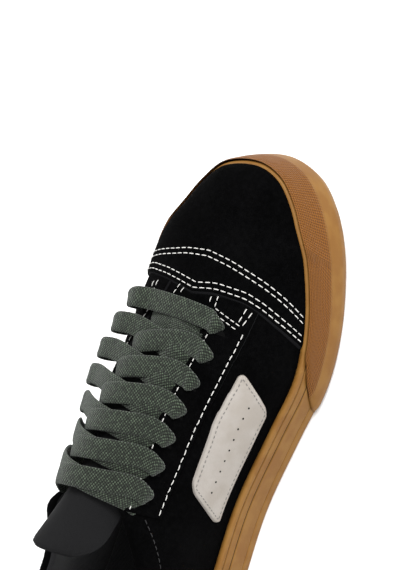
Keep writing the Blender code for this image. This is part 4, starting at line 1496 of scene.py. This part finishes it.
class Stitching:
    """Collects thread dashes along lines and makes one piece of them."""

    def __init__(self, name, finish):
        self.name = name
        self.finish = finish
        self.work = bmesh.new()

    def run(self, at, count, length=STITCH, gap=STITCH_GAP, thick=STITCH_THICKNESS):
        """Dashes along a line: at(t, out) gives a point for t from 0 to 1 at a height over the surface."""
        shares = np.linspace(0, 1, count)
        line = np.array([at(t, 0.0) for t in shares], float)
        above = np.array([at(t, 1 * MM) for t in shares], float)
        travelled = lengths_along(line)
        number = max(1, int((travelled[-1] + gap) / (length + gap)))
        pitch = travelled[-1] / number
        for n in range(number):
            begin = n * pitch + (pitch - (length * pitch / (length + gap))) / 2
            finish = begin + length * pitch / (length + gap)
            self.dash(line, above, travelled, begin, finish, thick)

    def dash(self, line, above, travelled, begin, finish, thick):
        rings = []

        def at(points, distance):
            return np.array([np.interp(distance, travelled, points[:, c]) for c in range(3)])

        for share, size, lift in DASH_RINGS:
            s = mix(begin, finish, share)
            centre = at(line, s)
            up = at(above, s) - centre
            up /= np.linalg.norm(up)
            across = np.cross(up, unit(at(line, s + 0.3 * MM) - at(line, s - 0.3 * MM)))
            radius = thick / 2 * size
            middle = centre + up * lift * thick
            rings.append(
                [
                    self.work.verts.new(middle + radius * (across * math.cos(a) * 1.15 + up * math.sin(a) * 0.8))
                    for a in np.linspace(0, 2 * math.pi, 7)[:-1]
                ]
            )
        for a, b in zip(rings[:-1], rings[1:], strict=True):
            for i in range(6):
                self.work.faces.new((a[i], a[(i + 1) % 6], b[(i + 1) % 6], b[i])).smooth = True
        self.work.faces.new(rings[0])
        self.work.faces.new(rings[-1])

    def make(self):
        bmesh.ops.recalc_face_normals(self.work, faces=self.work.faces)
        piece = finish_piece(self.name, self.work, [self.finish])


WINDOW_LINES = (
    ((7.7, 71.9), (8.4, 68.2)),
    ((10.8, 72.8), (11.9, 66.9)),
    ((12.0, 66.9), (26.4, 62.3)),
    ((13.2, 64.4), (25.6, 60.3)),
    ((25.4, 71.4), (24.9, 63.4)),
    ((28.3, 70.4), (27.0, 62.4)),
)


def over_ridge(name, back, t):
    """A seam over the top of the shoe, from its outer foot (0) to its inner foot (1)."""
    side = 1 if t < 0.5 else -1
    share = 1 - abs(2 * t - 1)
    share = 0.03 + 0.97 * share
    return place_at(seam_along(name, side, share) - back / LENGTH), side, share


def make_stitches():
    white = Stitching("white_stitches", thread())
    for name, back in (("front", 0), ("front", ROW_SPACING), ("back", 0), ("back", ROW_SPACING)):
        white.run(lambda t, out, n=name, b=back: on_dome(*over_ridge(n, b, t), CAP_TOP + out), 260)
    for side in (1, -1):
        for (x1, y1), (x2, y2) in WINDOW_LINES:

            def window(t, out, a=(x1, y1), b=(x2, y2), side=side):
                x, y = mix(a[0], b[0], t) * MM * side, mix(a[1], b[1], t) * MM
                return over_dome(y, x - spine_x(along_of(y)), OVERLAY_THICKNESS + out)

            white.run(window, 24, length=2.4 * MM)

        for front, inwards, length in ((0.708, BAND_WIDTH - 2.4 * MM, STITCH), (0.712, 2.3 * MM, 2.3 * MM)):

            def row(t, out, side=side, front=front, inwards=inwards):
                place = place_at(mix(THROAT_TOP + 0.004, front, t))
                return on_dome(place, side, band_shares(place, side, inwards)[1], OVERLAY_THICKNESS + out)

            white.run(row, 70, length=length)
    white.make()
    make_dark_stitches()


def make_dark_stitches():
    """Grey thread on the patches and black thread below the collar's edge and on the heel."""
    grey = Stitching("grey_stitches", dark_thread())
    inset = 2.4 * MM
    for side in (1, -1):
        corners = [(0.0, 0.0), (1.0, 0.0), (1.0, 1.0), (0.0, 1.0), (0.0, 0.0)]
        tall = PATCH_HIGH - PATCH_LOW
        wide = (PATCH_FRONT - PATCH_BACK) * LENGTH
        for (a, b), (c, d) in zip(corners[:-1], corners[1:], strict=True):

            def edge(t, out, a=a, b=b, c=c, d=d, side=side):
                k = mix(inset / wide, 1 - inset / wide, mix(a, c, t))
                i = mix(inset / tall, 1 - inset / tall, mix(b, d, t))
                return patch_point(side, k, i, OVERLAY_THICKNESS - 0.05 * MM + out)

            grey.run(edge, 40, length=1.5 * MM, gap=0.8 * MM, thick=0.4 * MM)
    grey.make()
    black = Stitching("black_stitches", black_thread())
    for side in (1, -1):

        def collar(t, out, side=side):
            place = mix(0.0, place_at(THROAT_TOP - 0.004), t)
            _, _, handles = section(place, side)
            share = share_at_height(handles, handles[3][1] - 9 * MM)
            return surface(place, side, share, out)

        black.run(collar, 120, length=2.4 * MM)
    black.make()


def round_dots(name, centres, radius, finish):
    """Small dark discs for punched holes."""
    work = bmesh.new()
    for centre, up, along_it in centres:
        across = np.cross(up, along_it)
        across /= np.linalg.norm(across)
        ahead = np.cross(across, up)
        middle = work.verts.new(centre)
        ring = [
            work.verts.new(centre + radius * (across * math.cos(a) + ahead * math.sin(a)))
            for a in np.linspace(0, 2 * math.pi, 15)[:-1]
        ]
        for a, b in zip(ring, ring[1:] + ring[:1], strict=True):
            work.faces.new((a, b, middle)).smooth = True
    piece = finish_piece(name, work, [finish])


def facing(at):
    """A point with its outward and lengthwise directions, from a function of a shift along and a height."""
    centre = np.array(at(0.0, 0.0))
    up = np.array(at(0.0, 1 * MM)) - centre
    ahead = np.array(at(0.002, 0.0)) - centre
    return centre, up / np.linalg.norm(up), ahead / np.linalg.norm(ahead)


def make_holes():
    """The punched eyelets in the eyestays and the small air holes along the patches."""
    eyelets, holes = [], []
    for side in (1, -1):
        for place in eyelet_places():

            def eyelet(shift, out, place=place, share=band_shares(place, side, EYELET_INSET)[1], side=side):
                return on_dome(place + shift, side, share, OVERLAY_THICKNESS + 0.06 * MM + out)

            eyelets.append(facing(eyelet))
        for k in np.linspace(0.14, 0.86, 9):

            def hole(shift, out, k=k, side=side):
                return patch_point(side, k + shift, 0.5, OVERLAY_THICKNESS + 0.05 * MM + out)

            holes.append(facing(hole))
    # each hole is a flat dark disc: the black material under it and painted shade inside it
    round_dots("eyelet_holes", eyelets, 2.1 * MM, hole_backing_and_shade())
    round_dots("patch_air_holes", holes, 0.5 * MM, hole_backing_and_shade())


# The floor, the lights and the camera

CAMERA_TURN = (93.315, 55.37, -75.909)
CAMERA_DISTANCE = 960.848 * MM
CAMERA_AIM = (-15.572 * MM, 73.807 * MM, 30 * MM)
CAMERA_LENS = 127.56


def make_camera():
    around_it, up, roll = (math.radians(a) for a in CAMERA_TURN)
    back = Vector((math.sin(around_it) * math.cos(up), -math.cos(around_it) * math.cos(up), math.sin(up)))
    right = (-back).cross(Vector((0, 0, 1))).normalized()
    above = right.cross(-back)
    turned_right = math.cos(roll) * right + math.sin(roll) * above
    turned_up = -math.sin(roll) * right + math.cos(roll) * above
    data = bpy.data.cameras.new("camera")
    data.sensor_width = 36
    data.lens = CAMERA_LENS
    data.clip_start = 0.01
    camera = placed("camera", data)
    camera.matrix_world = Matrix.Translation(Vector(CAMERA_AIM) + back * CAMERA_DISTANCE) @ Matrix(
        (turned_right, turned_up, back)
    ).transposed().to_4x4()
    bpy.context.scene.camera = camera


def area_light(name, place, aim, size, watts):
    data = bpy.data.lights.new(name, "AREA")
    data.shape = "DISK"
    data.size = size
    data.energy = watts
    light = placed(name, data)
    light.location = place
    light.rotation_euler = (Vector(aim) - Vector(place)).to_track_quat("-Z", "Y").to_euler()


def make_floor():
    finish = Finish("pale_floor", Specular_IOR_Level=0.1)
    grain = finish.noise(40 * MM)
    finish.colour(finish.blend(grain, (0.90, 0.90, 0.90), (0.93, 0.93, 0.93)))
    finish.rough(0.9)
    mesh = bpy.data.meshes.new("floor")
    mesh.from_pydata([(-4, -4, 0), (4, -4, 0), (4, 4, 0), (-4, 4, 0)], [], [(0, 1, 2, 3)])
    mesh.materials.append(finish.material)
    floor = placed("floor", mesh)
    floor.location.z = -0.1 * MM


def make_lights():
    bpy.context.scene.view_settings.view_transform = "Standard"
    world = bpy.data.worlds.new("studio")
    world.use_nodes = True
    background = world.node_tree.nodes["Background"]
    background.inputs["Color"].default_value = (1, 1, 1, 1)
    background.inputs["Strength"].default_value = settings_of_stage().world
    bpy.context.scene.world = world
    key = settings_of_stage().key
    aim = (0, 0.06, 0.03)
    area_light("key", (0.35, 1.1, 1.3), aim, 0.9, 1.0 * key)
    area_light("fill", (-1.3, 0.2, 1.2), aim, 1.2, 0.55 * key)
    area_light("side", (1.5, -0.6, 0.9), aim, 1.0, 0.45 * key)


def settings_of_stage():
    return bpy.context.scene.shoe_stage


# The add-on's settings, operators and panel

def colour_setting(name, description, default):
    limits = {"subtype": "COLOR", "size": 3, "min": 0, "max": 1}
    return FloatVectorProperty(name=name, description=description, default=default, **limits)


class ShoeSettings(bpy.types.PropertyGroup):
    """The colours and the fine patterns of the shoe."""

    suede: colour_setting("Suede", "Colour of the brushed suede", (0.0005, 0.0005, 0.00055))
    gum: colour_setting("Gum rubber", "Colour of the rubber", (0.205, 0.098, 0.019))
    lace: colour_setting("Laces", "Colour of the woven laces", (0.0165, 0.0225, 0.0145))
    leather: colour_setting("Patches", "Colour of the leather patches", (0.31, 0.285, 0.258))
    thread: colour_setting("Thread", "Colour of the visible stitches", (0.62, 0.61, 0.58))
    diamond_pitch: FloatProperty(
        name="Diamond pitch", description="Distance between the toe bumper's moulded diamonds",
        subtype="DISTANCE", unit="LENGTH", default=1.4 * MM, min=0.5 * MM, max=6 * MM,
    )
    weave_pitch: FloatProperty(
        name="Weave pitch", description="Distance between the laces' raised yarns",
        subtype="DISTANCE", unit="LENGTH", default=1.4 * MM, min=0.3 * MM, max=4 * MM,
    )


class StageSettings(bpy.types.PropertyGroup):
    """The strength of the studio's light."""

    world: FloatProperty(name="Surround", description="Strength of the light from all sides", default=0.55, min=0)
    key: FloatProperty(name="Lamps", description="Power of the main lamp in watts", default=36, min=0)


class SHOE_OT_rubber(bpy.types.Operator):
    """Make the outsole, the sidewall and the toe bumper"""

    bl_idname = "shoe.rubber"
    bl_label = "Rubber sole"

    def execute(self, context):
        make_outsole()
        make_sidewall()
        make_toe_bumper()
        return {"FINISHED"}


class SHOE_OT_upper(bpy.types.Operator):
    """Make the hollow suede upper and the insole inside it"""

    bl_idname = "shoe.upper"
    bl_label = "Upper and insole"

    def execute(self, context):
        make_upper()
        make_insole()
        return {"FINISHED"}


class SHOE_OT_overlays(bpy.types.Operator):
    """Make the toe cap, the heel counter, the eyestays and the side patches"""

    bl_idname = "shoe.overlays"
    bl_label = "Sewn-on pieces"

    def execute(self, context):
        make_toe_cap()
        make_counter()
        make_eyestays()
        make_side_patches()
        return {"FINISHED"}


class SHOE_OT_tongue(bpy.types.Operator):
    """Make the padded tongue"""

    bl_idname = "shoe.tongue"
    bl_label = "Tongue"

    def execute(self, context):
        make_tongue()
        return {"FINISHED"}


class SHOE_OT_laces(bpy.types.Operator):
    """Run the flat laces through the eyelets"""

    bl_idname = "shoe.laces"
    bl_label = "Laces"

    def execute(self, context):
        make_laces()
        return {"FINISHED"}


class SHOE_OT_stitches(bpy.types.Operator):
    """Sew the seams and punch the holes"""

    bl_idname = "shoe.stitches"
    bl_label = "Stitches and holes"

    def execute(self, context):
        make_stitches()
        make_holes()
        return {"FINISHED"}


class SHOE_OT_stage(bpy.types.Operator):
    """Set up the floor, the lights and the camera"""

    bl_idname = "shoe.stage"
    bl_label = "Studio"

    def execute(self, context):
        make_camera()
        make_floor()
        make_lights()
        return {"FINISHED"}


OPERATORS = (
    SHOE_OT_stage,
    SHOE_OT_rubber,
    SHOE_OT_upper,
    SHOE_OT_overlays,
    SHOE_OT_tongue,
    SHOE_OT_laces,
    SHOE_OT_stitches,
)


class SHOE_PT_panel(bpy.types.Panel):
    """Lists the shoe's pieces and its settings"""

    bl_idname = "SHOE_PT_panel"
    bl_label = "Skate shoe"
    bl_space_type = "VIEW_3D"
    bl_region_type = "UI"
    bl_category = "Shoe"

    def draw(self, context):
        for group in (context.scene.shoe, context.scene.shoe_stage):
            for name in type(group).__annotations__:
                self.layout.prop(group, name)
        for made in OPERATORS:
            self.layout.operator(made.bl_idname)


CLASSES = (ShoeSettings, StageSettings, *OPERATORS, SHOE_PT_panel)


def register():
    for made in CLASSES:
        bpy.utils.register_class(made)
    bpy.types.Scene.shoe = PointerProperty(type=ShoeSettings)
    bpy.types.Scene.shoe_stage = PointerProperty(type=StageSettings)


def unregister():
    del bpy.types.Scene.shoe_stage
    del bpy.types.Scene.shoe
    for made in reversed(CLASSES):
        bpy.utils.unregister_class(made)


def main():
    register()
    for made in OPERATORS:
        group, name = made.bl_idname.split(".")
        getattr(getattr(bpy.ops, group), name)()


if __name__ == "__main__":
    main()
